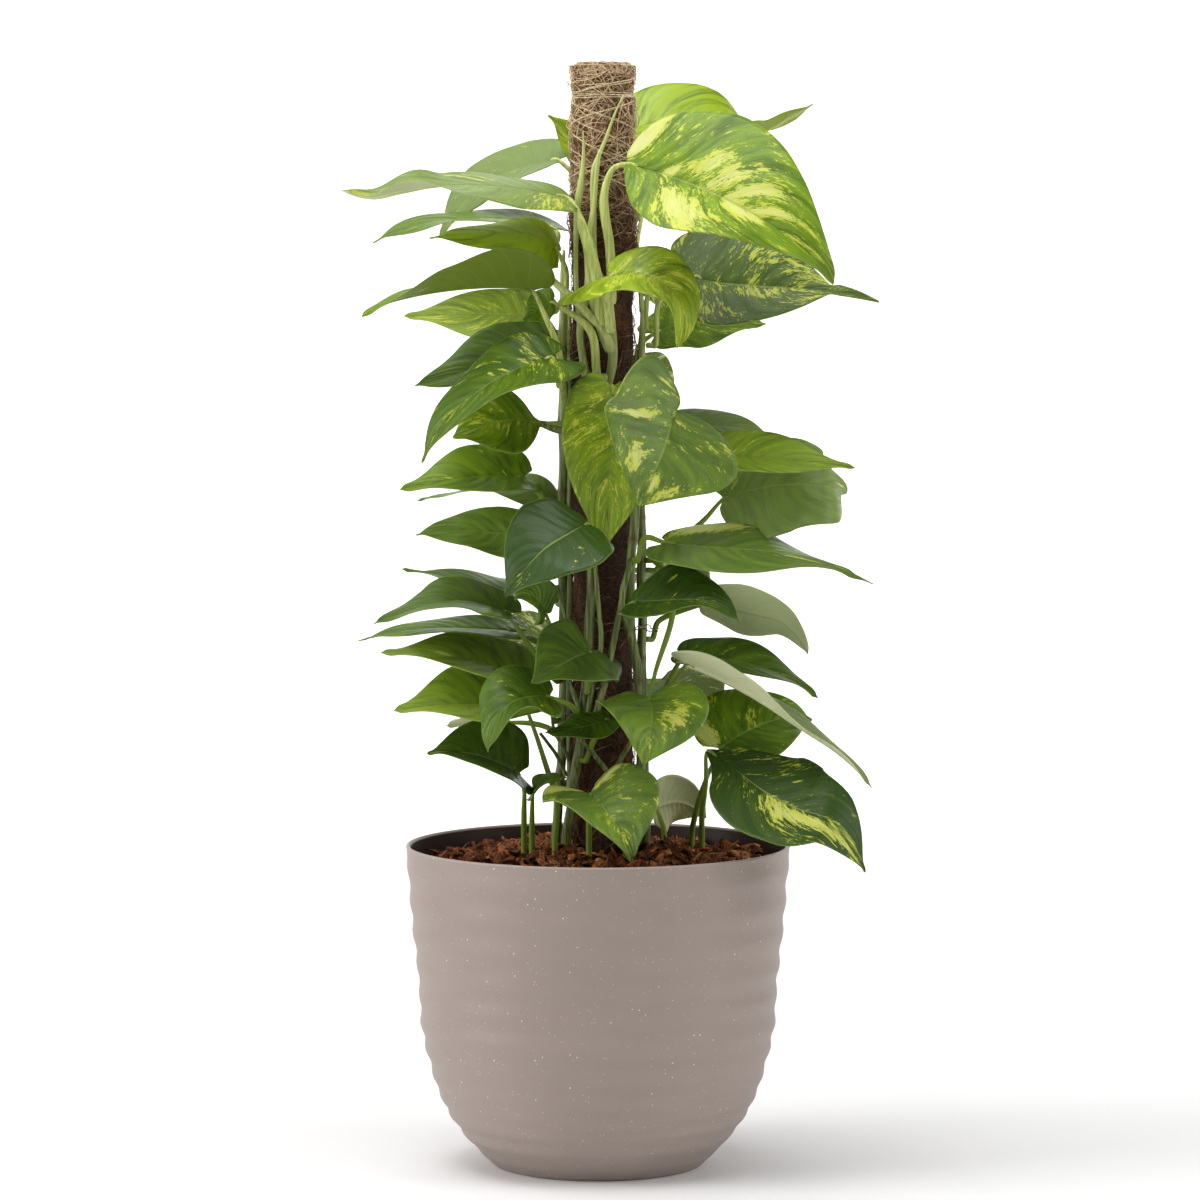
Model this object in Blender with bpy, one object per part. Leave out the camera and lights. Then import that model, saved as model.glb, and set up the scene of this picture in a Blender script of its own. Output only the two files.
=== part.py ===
"""A golden pothos in a round pot: heart-shaped leaves, climbing stems, a coir pole, bark and soil."""

from math import cos, exp, pi, radians, sin

import bmesh
import bpy
import numpy as np

for old in list(bpy.data.objects):
    bpy.data.objects.remove(old, do_unlink=True)

# Sizes in metres. The pot stands on z = 0, with its axis on x = y = 0.
POT_HEIGHT = 0.209
RIM_RADIUS = 0.125
POT_WALL = 0.0022
BAND_RELIEF = 0.0008
# The pot's outline as (height, radius), from the rim down to the flat foot, and its bands' middles.
POT_OUTLINE = [(0.209, 0.125), (0.1893, 0.1234), (0.1539, 0.1204), (0.1223, 0.1169), (0.0908, 0.1149),
               (0.0710, 0.1107), (0.0512, 0.1050), (0.0354, 0.0980), (0.0235, 0.0900), (0.0116, 0.0800),
               (0.0037, 0.0713), (0.0, 0.0674)]
BAND_HEIGHTS = (0.1951, 0.1721, 0.1517, 0.1304, 0.1118, 0.0926, 0.0757, 0.0582, 0.0439, 0.0319, 0.0195)
SOIL_TOP = 0.190
BARK_EDGE_TOP = 0.1985
BARK_MOUND = 0.010
POLE_X = 0.003
POLE_TOP = 0.7135
SLEEVE_RADIUS = 0.0193
CORE_RADIUS = 0.013
TWINE_RADIUS = 0.0007
TWINE_TURNS = 2.4
SIDES = 24
STEM_RADIUS = 0.0040
STALK_RADIUS = 0.0019
STALK_END_RADIUS = 0.0010
BLADE_THICKNESS = 0.0007
ROOT_DEPTH = 0.016
GAP = 0.0003
HOLE_GAP = 0.0008
STALK_GAP = 0.0006
SOIL_GAP = 0.0010

# The view that the photo was taken from, which turns a reading in it into a point.
EYE_DISTANCE = 3.087
EYE_HEIGHT = 0.583
EYE_TILT = radians(3.98)
FOCAL_PIXELS = 4770
AXIS_PIXEL = 598
MIDDLE_PIXEL = 600

# Half outlines of a blade: how far along the rib, and how far out, both from 0 to 1.
HEART = [(-0.115, 0.30), (-0.10, 0.62), (0.0, 0.88), (0.14, 0.99), (0.30, 1.0), (0.48, 0.86),
         (0.65, 0.61), (0.79, 0.36), (0.90, 0.17), (0.965, 0.07), (1.0, 0.016)]
OVATE = [(0.0, 0.10), (0.03, 0.34), (0.09, 0.62), (0.19, 0.86), (0.32, 1.0), (0.48, 0.92),
         (0.65, 0.68), (0.79, 0.41), (0.90, 0.19), (0.965, 0.08), (1.0, 0.016)]
WEDGE = [(0.0, 0.03), (0.05, 0.16), (0.13, 0.42), (0.24, 0.74), (0.38, 0.97), (0.52, 1.0),
         (0.67, 0.78), (0.80, 0.46), (0.90, 0.21), (0.965, 0.08), (1.0, 0.016)]

LEAF_GREEN = (0.115, 0.26, 0.035)
BRIGHT_GREEN = (0.30, 0.46, 0.06)
PALE_GREEN = (0.23, 0.34, 0.14)
DARK_GREEN = (0.045, 0.13, 0.022)


def material(name, colour, roughness):
    made = bpy.data.materials.get(name)
    if made is None:
        made = bpy.data.materials.new(name)
        made.use_nodes = True
        shader = made.node_tree.nodes["Principled BSDF"]
        shader.inputs["Base Color"].default_value = (*colour, 1)
        shader.inputs["Roughness"].default_value = roughness
        shader.inputs["Metallic"].default_value = 0
    return made


def finish(obj, colour_name, colour, roughness):
    obj.data.materials.clear()
    obj.data.materials.append(material(colour_name, colour, roughness))
    obj.data.shade_smooth()
    obj.data.set_sharp_from_angle(angle=radians(50))
    return obj


def mesh_object(name, bm):
    bmesh.ops.recalc_face_normals(bm, faces=bm.faces[:])
    mesh = bpy.data.meshes.new(name)
    bm.to_mesh(mesh)
    bm.free()
    obj = bpy.data.objects.new(name, mesh)
    bpy.context.scene.collection.objects.link(obj)
    return obj


def apply_modifiers(obj):
    """Replace the object's mesh by its evaluated one, without modifiers."""
    bpy.context.view_layer.update()
    graph = bpy.context.evaluated_depsgraph_get()
    made = bpy.data.meshes.new_from_object(obj.evaluated_get(graph))
    obj.modifiers.clear()
    obj.data = made
    return obj


def combine(obj, others, operation):
    """One Boolean with every other object, applied, and those objects removed."""
    group = bpy.data.collections.new(obj.name + "_group")
    bpy.context.scene.collection.children.link(group)
    for other in others:
        for holder in list(other.users_collection):
            holder.objects.unlink(other)
        group.objects.link(other)
    boolean = obj.modifiers.new("combine", "BOOLEAN")
    boolean.operation = operation
    boolean.solver = "EXACT"
    boolean.operand_type = "COLLECTION"
    boolean.collection = group
    apply_modifiers(obj)
    for other in others:
        bpy.data.objects.remove(other, do_unlink=True)
    bpy.data.collections.remove(group)
    return obj


def at(reading):
    """A reading in the photo (across, down, and millimetres behind the pot's axis) as a point."""
    across, down, depth = reading
    right = (across - AXIS_PIXEL) / FOCAL_PIXELS
    up = (MIDDLE_PIXEL - down) / FOCAL_PIXELS
    reach = (EYE_DISTANCE + depth / 1000) / (cos(EYE_TILT) + up * sin(EYE_TILT))
    height = EYE_HEIGHT + reach * (up * cos(EYE_TILT) - sin(EYE_TILT))
    return np.array([right * reach, depth / 1000, height])


def smooth_path(points):
    """A curve through the points as a function of its own length from 0 to 1, and its length."""
    p = np.asarray(points, float)
    if len(p) == 2:
        p = np.array([p[0], (p[0] + p[1]) / 2, p[1]])
    knots = np.concatenate([[0], np.cumsum(np.linalg.norm(np.diff(p, axis=0), axis=1) ** 0.75)])
    knots /= knots[-1]
    slope = np.empty_like(p)
    slope[1:-1] = (p[2:] - p[:-2]) / (knots[2:] - knots[:-2])[:, None]
    slope[0] = 2 * (p[1] - p[0]) / (knots[1] - knots[0]) - slope[1]
    slope[-1] = 2 * (p[-1] - p[-2]) / (knots[-1] - knots[-2]) - slope[-2]

    def position(u):
        i = np.clip(np.searchsorted(knots, u, side="right") - 1, 0, len(p) - 2)
        h = (knots[i + 1] - knots[i])[:, None]
        t = (u - knots[i])[:, None] / h
        start = (2 * t**3 - 3 * t**2 + 1) * p[i] + (t**3 - 2 * t**2 + t) * h * slope[i]
        return start + (3 * t**2 - 2 * t**3) * p[i + 1] + (t**3 - t**2) * h * slope[i + 1]

    fine = np.linspace(0, 1, 241)
    track = position(fine)
    steps = np.linalg.norm(np.diff(track, axis=0), axis=1)
    run = np.concatenate([[0], np.cumsum(steps)])
    length = run[-1]
    tangents = np.gradient(track, run, axis=0)
    tangents /= np.linalg.norm(tangents, axis=1, keepdims=True)

    def curve(f):
        inside = np.clip(f, 0, 1)
        place = np.stack([np.interp(inside * length, run, track[:, k]) for k in range(3)], 1)
        way = np.stack([np.interp(inside * length, run, tangents[:, k]) for k in range(3)], 1)
        way /= np.linalg.norm(way, axis=1, keepdims=True)
        return place + (f - inside)[:, None] * way * length, way

    return curve, length


def outline_at(points, t):
    curve_x = np.array([x for x, _ in points])
    curve_y = np.array([y for _, y in points])
    spread = np.linspace(0, 1, len(points))
    return np.interp(t, spread, curve_x), np.interp(t, spread, curve_y)


def margin(t, lobe, tail):
    """One side's outline: lobe 1 is heart-shaped, 0 rounded, -1 a wedge; tail is a thin tip's share."""
    body = np.minimum(t / 0.86, 1) if tail else t
    along, out = outline_at(OVATE, body)
    other_along, other_out = outline_at(HEART if lobe > 0 else WEDGE, body)
    share = min(abs(lobe), 1)
    along = other_along * share + along * (1 - share)
    out = other_out * share + out * (1 - share)
    along = np.where(along < 0, along * max(lobe, 1), along)
    if tail:
        tip = np.clip((t - 0.86) / 0.14, 0, 1)
        along = along * (1 - tail) + tip * tail
        out = np.maximum(out, 0.09 * (1 - tip) + 0.016)
    return along, out


def blend(values, f):
    """Values spread evenly from the stalk to the tip, eased from one to the next."""
    values = np.atleast_1d(np.asarray(values, float))
    if len(values) == 1:
        return np.full(np.shape(f), values[0])
    x = np.clip(f, 0, 1) * (len(values) - 1)
    i = np.clip(x.astype(int), 0, len(values) - 2)
    step = x - i
    step = step * step * (3 - 2 * step)
    return values[i] * (1 - step) + values[i + 1] * step


def blade_points(rib, width, roll, fold, curl, lobe, tail, t, v):
    """Points of a blade's middle surface: t runs from stalk to tip, v from -1 to 1 across.

    Roll turns the blade about its rib, from a face towards the viewer. Fold lifts both halves like a
    book, in degrees, and curl bends their edges down again.
    """
    curve, _ = smooth_path([at(p) for p in rib])
    lobes = lobe if isinstance(lobe, tuple) else (lobe, lobe)
    sides = [margin(t, value, tail) for value in lobes]
    along = np.where(v < 0, sides[0][0], sides[1][0])
    out = np.where(v < 0, sides[0][1], sides[1][1])
    q = np.abs(v)
    place = t + (along - t) * q**1.3
    reach = out * q * width / 2000
    middle, way = curve(place)
    towards = np.array([0, -1.0, 0])
    face = towards - (way @ towards)[:, None] * way
    face /= np.linalg.norm(face, axis=1, keepdims=True)
    across = np.cross(way, face)
    turn = np.radians(blend(roll, place))[:, None]
    normal = np.cos(turn) * face + np.sin(turn) * across
    side = np.cos(turn) * across - np.sin(turn) * face
    lift = np.radians(blend(fold, place))
    bend = radians(curl) * q + 1e-6
    flat = (np.sin(lift) - np.sin(lift - bend)) / bend
    rise = (np.cos(lift - bend) - np.cos(lift)) / bend
    return middle + (reach * flat * np.sign(v))[:, None] * side + (reach * rise)[:, None] * normal


def tube(name, points, radii, sides_level, steps, straight=0.0):
    """A round closed tube along a smooth path, its radius eased along it, straight at its start."""
    curve, length = smooth_path(points)
    f = np.linspace(straight / length, 1, steps + 1)
    if straight:
        f = np.concatenate([[0], f])
        steps += 1
    track, _ = curve(f)
    radius = np.interp(f, np.linspace(0, 1, len(radii)), radii)
    data = bpy.data.curves.new(name, "CURVE")
    data.dimensions = "3D"
    data.bevel_depth = 1
    data.bevel_resolution = sides_level
    data.use_fill_caps = True
    spline = data.splines.new("POLY")
    spline.points.add(steps)
    for point, co, r in zip(spline.points, track, radius):
        point.co = (*co, 1)
        point.radius = r
    shape = bpy.data.objects.new(name, data)
    bpy.context.scene.collection.objects.link(shape)
    bpy.context.view_layer.update()
    graph = bpy.context.evaluated_depsgraph_get()
    mesh = bpy.data.meshes.new_from_object(shape.evaluated_get(graph))
    bpy.data.objects.remove(shape, do_unlink=True)
    bm = bmesh.new()
    bm.from_mesh(mesh)
    bmesh.ops.remove_doubles(bm, verts=bm.verts[:], dist=1e-6)
    return mesh_object(name, bm)


def turned(name, profile, sides):
    """A solid turned about the z axis from (radius, height) points, outer side first, top to bottom."""
    bm = bmesh.new()
    verts = [bm.verts.new((r, 0, z)) for r, z in profile]
    edges = [bm.edges.new(pair) for pair in zip(verts, verts[1:] + verts[:1])]
    bmesh.ops.spin(bm, geom=verts + edges, cent=(0, 0, 0), axis=(0, 0, 1), angle=2 * pi, steps=sides,
                   use_merge=True)
    bmesh.ops.remove_doubles(bm, verts=bm.verts[:], dist=1e-6)
    return bm


# The pot: a thin wall whose outside has soft bands, a flared lip and a rounded foot.
def pot_radius(z):
    heights = [height for height, _ in POT_OUTLINE]
    return float(np.interp(z, heights[::-1], [radius for _, radius in POT_OUTLINE][::-1]))


def wall_inside(z):
    """The inner wall's radius: one wall and one band's relief in from the outline, square to it."""
    lean = (pot_radius(z + 0.004) - pot_radius(z - 0.004)) / 0.008
    return pot_radius(z) - (POT_WALL + BAND_RELIEF) * (1 + lean * lean) ** 0.5


LIP_BOTTOM = POT_HEIGHT - 0.006
outer = [(RIM_RADIUS - 0.0008, POT_HEIGHT), (RIM_RADIUS, POT_HEIGHT - 0.0008), (RIM_RADIUS, LIP_BOTTOM)]
for middle, below in zip(BAND_HEIGHTS, BAND_HEIGHTS[1:] + (0.0116,)):
    groove = (middle + below) / 2
    outer.append((pot_radius(middle) + BAND_RELIEF, middle))
    outer.append((pot_radius(groove) - BAND_RELIEF, groove))
outer += [(radius, height) for height, radius in POT_OUTLINE[-2:]]
floor_top = POT_WALL + 0.002
inner = [(wall_inside(z), z) for z in (floor_top, 0.0116, 0.0235, 0.036, 0.056, 0.085, 0.140, LIP_BOTTOM)]
inner.append((RIM_RADIUS - POT_WALL - 0.0006, POT_HEIGHT - 0.0008))
inner.append((RIM_RADIUS - POT_WALL, POT_HEIGHT))
profile = outer + [(0.0, 0.0), (0.0, POT_WALL + 0.001)] + inner
pot = mesh_object("pot", turned("pot", profile, SIDES))
finish(pot, "pot_plastic", (0.36, 0.29, 0.25), 0.5)

# Feet of everything that grows out of the soil: photo column, depth in millimetres, radius.
FEET = {
    "vine_front": (566, -14, STEM_RADIUS), "vine_right_front": (632, -18, STEM_RADIUS),
    "vine_left": (556, 8, STEM_RADIUS), "vine_right": (646, 6, STEM_RADIUS),
    "vine_back_left": (588, 32, STEM_RADIUS), "vine_back_right": (622, 32, STEM_RADIUS),
    "leaf_22": (555, -24, STALK_RADIUS), "leaf_25": (524, -10, STALK_RADIUS),
    "leaf_25b": (532, -18, STALK_RADIUS), "leaf_26": (589, -45, STALK_RADIUS),
    "leaf_27": (664, 48, STALK_RADIUS), "leaf_41": (692, 20, STALK_RADIUS),
    "leaf_42": (702, 8, STALK_RADIUS), "leaf_57": (600, 62, STALK_RADIUS),
}


def foot_points(name):
    """The straight piece that stands in its hole, from the bottom up."""
    column, depth, _ = FEET[name]
    x, y, _ = at((column, 830, depth))
    return [np.array([x, y, z]) for z in (SOIL_TOP - ROOT_DEPTH, SOIL_TOP, SOIL_TOP + 0.022)]


def hole_cutters(low, high):
    cutters = []
    for name, (_, _, radius) in FEET.items():
        x, y, _ = foot_points(name)[0]
        bm = bmesh.new()
        bmesh.ops.create_cone(bm, cap_ends=True, segments=6, radius1=radius * 1.1 + HOLE_GAP,
                              radius2=radius * 1.1 + HOLE_GAP, depth=high - low)
        bmesh.ops.translate(bm, verts=bm.verts[:], vec=(x, y, (low + high) / 2))
        cutters.append(mesh_object("cutter_" + name, bm))
    return cutters


def pole_cutter(low, high):
    bm = bmesh.new()
    bmesh.ops.create_cone(bm, cap_ends=True, segments=20, radius1=SLEEVE_RADIUS + 0.0012,
                          radius2=SLEEVE_RADIUS + 0.0012, depth=high - low)
    bmesh.ops.translate(bm, verts=bm.verts[:], vec=(POLE_X, 0, (low + high) / 2))
    return mesh_object("cutter_pole", bm)


def inner_radius(z):
    return float(np.interp(z, [z for _, z in inner], [r for r, _ in inner]))


# Soil: it fills the pot under the bark, with plain holes for the pole and everything that grows.
soil_heights = (SOIL_TOP, 0.140, 0.085, 0.056, 0.036, 0.0235, 0.0116)
soil_profile = [(inner_radius(z) - SOIL_GAP, z) for z in soil_heights]
soil_profile.append((inner_radius(floor_top) - 2 * SOIL_GAP, floor_top + GAP))
soil_profile += [(0.0, floor_top + GAP), (0.0, SOIL_TOP)]
soil = mesh_object("soil", turned("soil", soil_profile, SIDES))
combine(soil, hole_cutters(SOIL_TOP - ROOT_DEPTH - 0.002, SOIL_TOP + 0.02) + [pole_cutter(0.010, 0.22)],
        "DIFFERENCE")
finish(soil, "soil", (0.05, 0.032, 0.022), 0.95)

# Bark: a ring of chips on the soil, a little higher at the pole, its relief by formula.
RINGS = 5
bark_outer = inner_radius(0.195) - 0.001
bark_profile = []
for ring in range(RINGS + 1):
    bark_profile.append((bark_outer * (1 - ring / RINGS), BARK_EDGE_TOP))
bark_profile += [(0.0, SOIL_TOP + GAP), (bark_outer, SOIL_TOP + GAP)]
bm = turned("bark_mulch", bark_profile, SIDES)
for vert in bm.verts:
    if vert.co.z > SOIL_TOP + 0.004:
        x, y = vert.co.x * 1000, vert.co.y * 1000
        chip = sin(x / 5.1 + 1.3 * sin(y / 7.3)) * cos(y / 4.7 - 0.8 * sin(x / 8.9))
        vert.co.z += BARK_MOUND * exp(-((x * x + y * y) / 2900)) + 0.0012 * chip
bark = mesh_object("bark_mulch", bm)
combine(bark, hole_cutters(SOIL_TOP - 0.01, SOIL_TOP + 0.04) + [pole_cutter(0.15, 0.25)], "DIFFERENCE")
finish(bark, "bark", (0.17, 0.062, 0.034), 0.85)

# The pole: a stake, and a fibre sleeve round it that is pinched where the thread is wound.
CORE_BOTTOM = 0.012
SLEEVE_BOTTOM = 0.030
PINCH_HEIGHT = at((AXIS_PIXEL, 95, -SLEEVE_RADIUS * 1000))[2]
core_top = POLE_TOP - 0.009
core = mesh_object("pole_core", turned("pole_core", [
    (CORE_RADIUS - 0.001, core_top), (CORE_RADIUS, core_top - 0.001), (CORE_RADIUS, CORE_BOTTOM + 0.001),
    (CORE_RADIUS - 0.001, CORE_BOTTOM), (0, CORE_BOTTOM), (0, core_top)], 18))
core.location.x = POLE_X
finish(core, "stake", (0.30, 0.19, 0.10), 0.8)

sleeve_heights = [POLE_TOP - 0.004, PINCH_HEIGHT + 0.009, PINCH_HEIGHT + 0.003, PINCH_HEIGHT - 0.003]
sleeve_heights += list(np.linspace(PINCH_HEIGHT - 0.010, SLEEVE_BOTTOM, 10))
sleeve_profile = [(SLEEVE_RADIUS * 0.62, POLE_TOP), (SLEEVE_RADIUS * 0.9, POLE_TOP - 0.0012)]
for z in sleeve_heights:
    pinch = 0.0022 if abs(z - PINCH_HEIGHT) < 0.004 else 0
    sleeve_profile.append((SLEEVE_RADIUS - pinch, z))
sleeve_profile += [(CORE_RADIUS + GAP, SLEEVE_BOTTOM), (CORE_RADIUS + GAP, core_top + GAP)]
sleeve_profile += [(0, core_top + GAP), (0, POLE_TOP + 0.0004)]
bm = turned("coir_sleeve", sleeve_profile, 18)
for vert in bm.verts:
    radius = (vert.co.x**2 + vert.co.y**2) ** 0.5
    if radius > CORE_RADIUS + 0.002:
        angle = np.arctan2(vert.co.y, vert.co.x)
        lump = 0.00035 * sin(3 * angle + vert.co.z * 61) * cos(vert.co.z * 143 + angle)
        vert.co.x *= 1 + lump / radius
        vert.co.y *= 1 + lump / radius
sleeve = mesh_object("coir_sleeve", bm)
sleeve.location.x = POLE_X
finish(sleeve, "coir", (0.20, 0.12, 0.06), 0.95)

twine_radius = SLEEVE_RADIUS - 0.0022 + 0.00035 + GAP + TWINE_RADIUS
twine_profile = []
for k in range(6):
    angle = 2 * pi * k / 6
    height = PINCH_HEIGHT - TWINE_TURNS * TWINE_RADIUS * sin(angle)
    twine_profile.append((twine_radius + TWINE_RADIUS * cos(angle), height))
twine = mesh_object("pole_twine", turned("pole_twine", twine_profile, 18))
twine.location.x = POLE_X
finish(twine, "twine", (0.42, 0.29, 0.14), 0.8)

# Climbing stems, from the soil up. The front one ends in a rolled young leaf.
STEMS = {
    "vine_front": [(574, 785, -18), (580, 745, -22), (586, 690, -25), (591, 600, -26), (592, 500, -27),
                   (600, 420, -28), (612, 360, -30), (609, 304, -29), (597, 270, -29), (593, 230, -28),
                   (594, 170, -27), (598, 157, -27), (605, 139, -27), (614, 117, -27), (624, 95, -27)],
    "vine_right_front": [(640, 780, -20), (640, 700, -22), (630, 610, -25), (634, 520, -25),
                         (638, 450, -24), (638, 400, -23)],
    "vine_left": [(560, 780, 6), (563, 700, 4), (563, 600, 2), (563, 500, 2), (563, 400, 2), (563, 300, 2),
                  (564, 250, 2)],
    "vine_right": [(644, 780, 6), (642, 700, 6), (642, 600, 5), (641, 500, 4), (641, 400, 2),
                   (642, 330, 0), (641, 300, 0)],
    "vine_back_left": [(587, 760, 30), (586, 700, 28), (588, 600, 27), (588, 400, 27), (590, 250, 27),
                       (590, 190, 27)],
    "vine_back_right": [(622, 760, 30), (622, 700, 28), (620, 600, 27), (620, 400, 27), (620, 250, 27),
                        (620, 195, 27)],
}
STEM_RADII = {"vine_front": [4.0, 4.0, 4.0, 4.0, 4.0, 3.6, 3.1, 2.9, 2.2, 1.5, 0.5]}
STEM_STEPS = {"vine_front": 22, "vine_right": 14}
# A second rolled young leaf on its own stalk, which leaves the front stem at this row.
YOUNG_LEAF_ROW = 430
YOUNG_LEAF = [(590, 385, -25), (581, 340, -22), (576, 280, -22), (577, 214, -24), (583, 166, -25),
              (583, 131, -25)]
YOUNG_LEAF_RADII = [1.6, 1.6, 1.5, 1.5, 2.4, 0.4]


def stem_points(name):
    return foot_points(name) + [at(p) for p in STEMS[name]]


def stem_radii(name):
    return [r / 1000 for r in STEM_RADII.get(name, [4.0, 3.9, 3.8])]


def stem_at(name, down):
    """The point on a stem that shows at this photo row, and the stem's radius there."""
    curve, _ = smooth_path(stem_points(name))
    share = np.linspace(0, 1, 600)
    track, _ = curve(share)
    depth = EYE_DISTANCE + track[:, 1]
    rise = (track[:, 2] - EYE_HEIGHT) * cos(EYE_TILT) + depth * sin(EYE_TILT)
    ahead = depth * cos(EYE_TILT) - (track[:, 2] - EYE_HEIGHT) * sin(EYE_TILT)
    rows = MIDDLE_PIXEL - FOCAL_PIXELS * rise / ahead
    nearest = np.argmin(abs(rows - down))
    radii = stem_radii(name)
    return track[nearest], np.interp(share[nearest], np.linspace(0, 1, len(radii)), radii)


# Leaves: rib and stalk readings from the photo, (column, row, depth in mm), blade width in mm, and
# the stem and row that each stalk leaves from. A leaf without a stem grows out of the soil.
LEAVES = {}


def leaf(name, rib, width, roll, fold, stem, row, stalk, curl=0, lobe=0.8, tail=0, cells=(6, 4),
         colour=LEAF_GREEN):
    LEAVES[name] = dict(rib=rib, width=width, roll=roll, fold=fold, stem=stem, row=row, stalk=stalk,
                        curl=curl, lobe=lobe, tail=tail, cells=cells, colour=colour)


SMALL = (4, 4)
MIDDLE = (5, 4)
LARGE = (7, 6)
leaf("leaf_01", [(600, 152, 46), (660, 124, 58), (742, 118, 68), (812, 105, 62)], 72, (-58, -58, -55), 12,
     "vine_back_right", 225, [(606, 190, 36)], lobe=-0.2, colour=BRIGHT_GREEN)
leaf("leaf_02", [(627, 164, -34), (700, 188, -60), (764, 221, -78), (808, 253, -85), (833, 284, -80)], 116,
     (-36, -38, -30), 21, "vine_front", 300, [(610, 250, -33), (604, 200, -34), (612, 170, -35)],
     curl=12, lobe=(0.2, -1.0), cells=(8, 6), colour=BRIGHT_GREEN)
leaf("leaf_03", [(590, 172, 44), (572, 140, 42), (548, 115, 36)], 26, 30, 10, "vine_back_left", 215,
     [(592, 192, 38)], lobe=0.4, cells=SMALL, colour=BRIGHT_GREEN)
leaf("leaf_05", [(556, 163, 35), (515, 161, 50), (468, 181, 60), (440, 236, 62)], 58, (74, 70, 45), 5,
     "vine_back_left", 210, [(575, 178, 30)], lobe=0.5, cells=MIDDLE, colour=PALE_GREEN)
leaf("leaf_06", [(567, 198, -28), (505, 186, -48), (437, 184, -62), (385, 184, -64), (341, 190, -60)], 60,
     (66, 72, 72, 55), (-5, -5, 0, 15), "vine_front", 324,
     [(596, 275, -37), (582, 225, -35), (573, 204, -31)], lobe=0.2, cells=(9, 4), colour=PALE_GREEN)
leaf("leaf_07", [(552, 228, 8), (500, 219, 24), (430, 222, 32), (373, 243, 30)], 58, (84, 80, 62), 4,
     "vine_left", 265, [(558, 236, 2)], lobe=0.5)
leaf("leaf_08", [(558, 252, -18), (536, 236, -32), (490, 233, -42), (429, 238, -50)], 48, (58, 62, 62), -8,
     "vine_left", 300, [(566, 272, -10)], lobe=0.4, cells=MIDDLE)
leaf("leaf_09", [(533, 291, -42), (500, 286, -48), (440, 291, -54), (385, 304, -58), (362, 317, -58)], 66,
     (118, 104, 62), (25, 18, 6), "vine_left", 396, [(563, 380, -26), (557, 345, -38), (545, 316, -43)],
     lobe=0.7)
leaf("leaf_10", [(545, 318, 8), (480, 314, 20), (404, 316, 24)], 52, 50, 2, "vine_left", 350,
     [(554, 333, 4)], lobe=0.6)
leaf("leaf_11", [(550, 345, -12), (505, 358, -20), (460, 373, -30), (415, 386, -34)], 54, 46, 10,
     "vine_left", 385, [(558, 362, -8)], lobe=0.7, colour=DARK_GREEN)
leaf("leaf_12", [(553, 358, -60), (520, 367, -70), (480, 390, -77), (446, 420, -80), (422, 463, -78)], 52,
     (45, 57, 50), 7, "vine_left", 430, [(564, 400, -40), (560, 374, -54)], lobe=(2.0, 0.8))
leaf("leaf_13", [(540, 423, -36), (515, 420, -44), (485, 425, -52), (453, 438, -58)], 60, (60, 38, 35), 5,
     "vine_front", 440, [(575, 426, -32)], lobe=-0.6)
leaf("leaf_14", [(524, 478, -32), (495, 476, -40), (457, 479, -48), (400, 490, -52)], 60, 61, 13,
     "vine_left", 530, [(552, 512, -15), (538, 492, -22)])
leaf("leaf_15", [(549, 500, 14), (526, 488, 12), (490, 487, 16), (417, 501, 20)], 48, (60, 88, 95), 0,
     "vine_left", 515, [(555, 506, 12)], cells=MIDDLE, colour=DARK_GREEN)
leaf("leaf_16", [(540, 530, -16), (500, 533, -22), (460, 530, -30), (416, 535, -36)], 56, 58, 0,
     "vine_left", 575, [(552, 545, -8)], colour=DARK_GREEN)
leaf("leaf_17", [(588, 522, -84), (568, 534, -98), (540, 553, -108), (506, 594, -112)], 76, 42, 5,
     "vine_front", 560, [(592, 536, -56)], lobe=(0.2, 0.3), cells=LARGE, colour=DARK_GREEN)
leaf("leaf_18", [(550, 592, 20), (510, 590, 15), (465, 580, 12), (402, 569, 10)], 48, 78, 3,
     "vine_left", 605, [(556, 598, 14)], cells=MIDDLE)
leaf("leaf_19", [(510, 614, -32), (466, 601, -42), (430, 605, -50), (374, 624, -52)], 58, 73, 10,
     "vine_left", 680, [(545, 668, -20), (520, 632, -30)], colour=DARK_GREEN)
leaf("leaf_19b", [(546, 614, -40), (534, 597, -52), (514, 600, -62)], 34, 50, 5, "vine_left", 650,
     [(556, 640, -28)], lobe=0.5, cells=SMALL, colour=DARK_GREEN)
leaf("leaf_20", [(516, 632, -5), (470, 628, -15), (420, 629, -22), (358, 641, -25)], 42, 78, 5,
     "vine_left", 665, [(545, 648, 0)], cells=MIDDLE, colour=DARK_GREEN)
leaf("leaf_21", [(536, 684, -12), (500, 668, -24), (449, 656, -34), (381, 653, -38)], 62, 68, 12,
     "vine_left", 720, [(550, 700, -8)])
leaf("leaf_22", [(522, 700, -30), (480, 704, -42), (440, 705, -52), (394, 711, -56)], 70, 61, 16,
     None, 0, [(557, 800, -26), (549, 775, -28), (535, 732, -29)])
leaf("leaf_23", [(550, 697, -70), (516, 700, -86), (498, 718, -95), (488, 752, -97)], 56, 57, 9,
     "vine_front", 715, [(570, 705, -52)], lobe=(0.5, 0.6))
leaf("leaf_24", [(500, 722, 35), (470, 722, 35), (446, 726, 35)], 36, 120, 0, "vine_back_left", 740,
     [(540, 725, 32)], cells=SMALL, colour=PALE_GREEN)
leaf("leaf_25", [(519, 774, -28), (494, 761, -38), (466, 753, -46), (427, 754, -50)], 64, 61, 21,
     None, 0, [(524, 810, -16), (524, 790, -24)], colour=DARK_GREEN)
leaf("leaf_25b", [(533, 792, -38), (546, 782, -46), (567, 778, -50)], 22, -75, 10, None, 0,
     [(532, 815, -24)], cells=SMALL, colour=DARK_GREEN)
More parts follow.
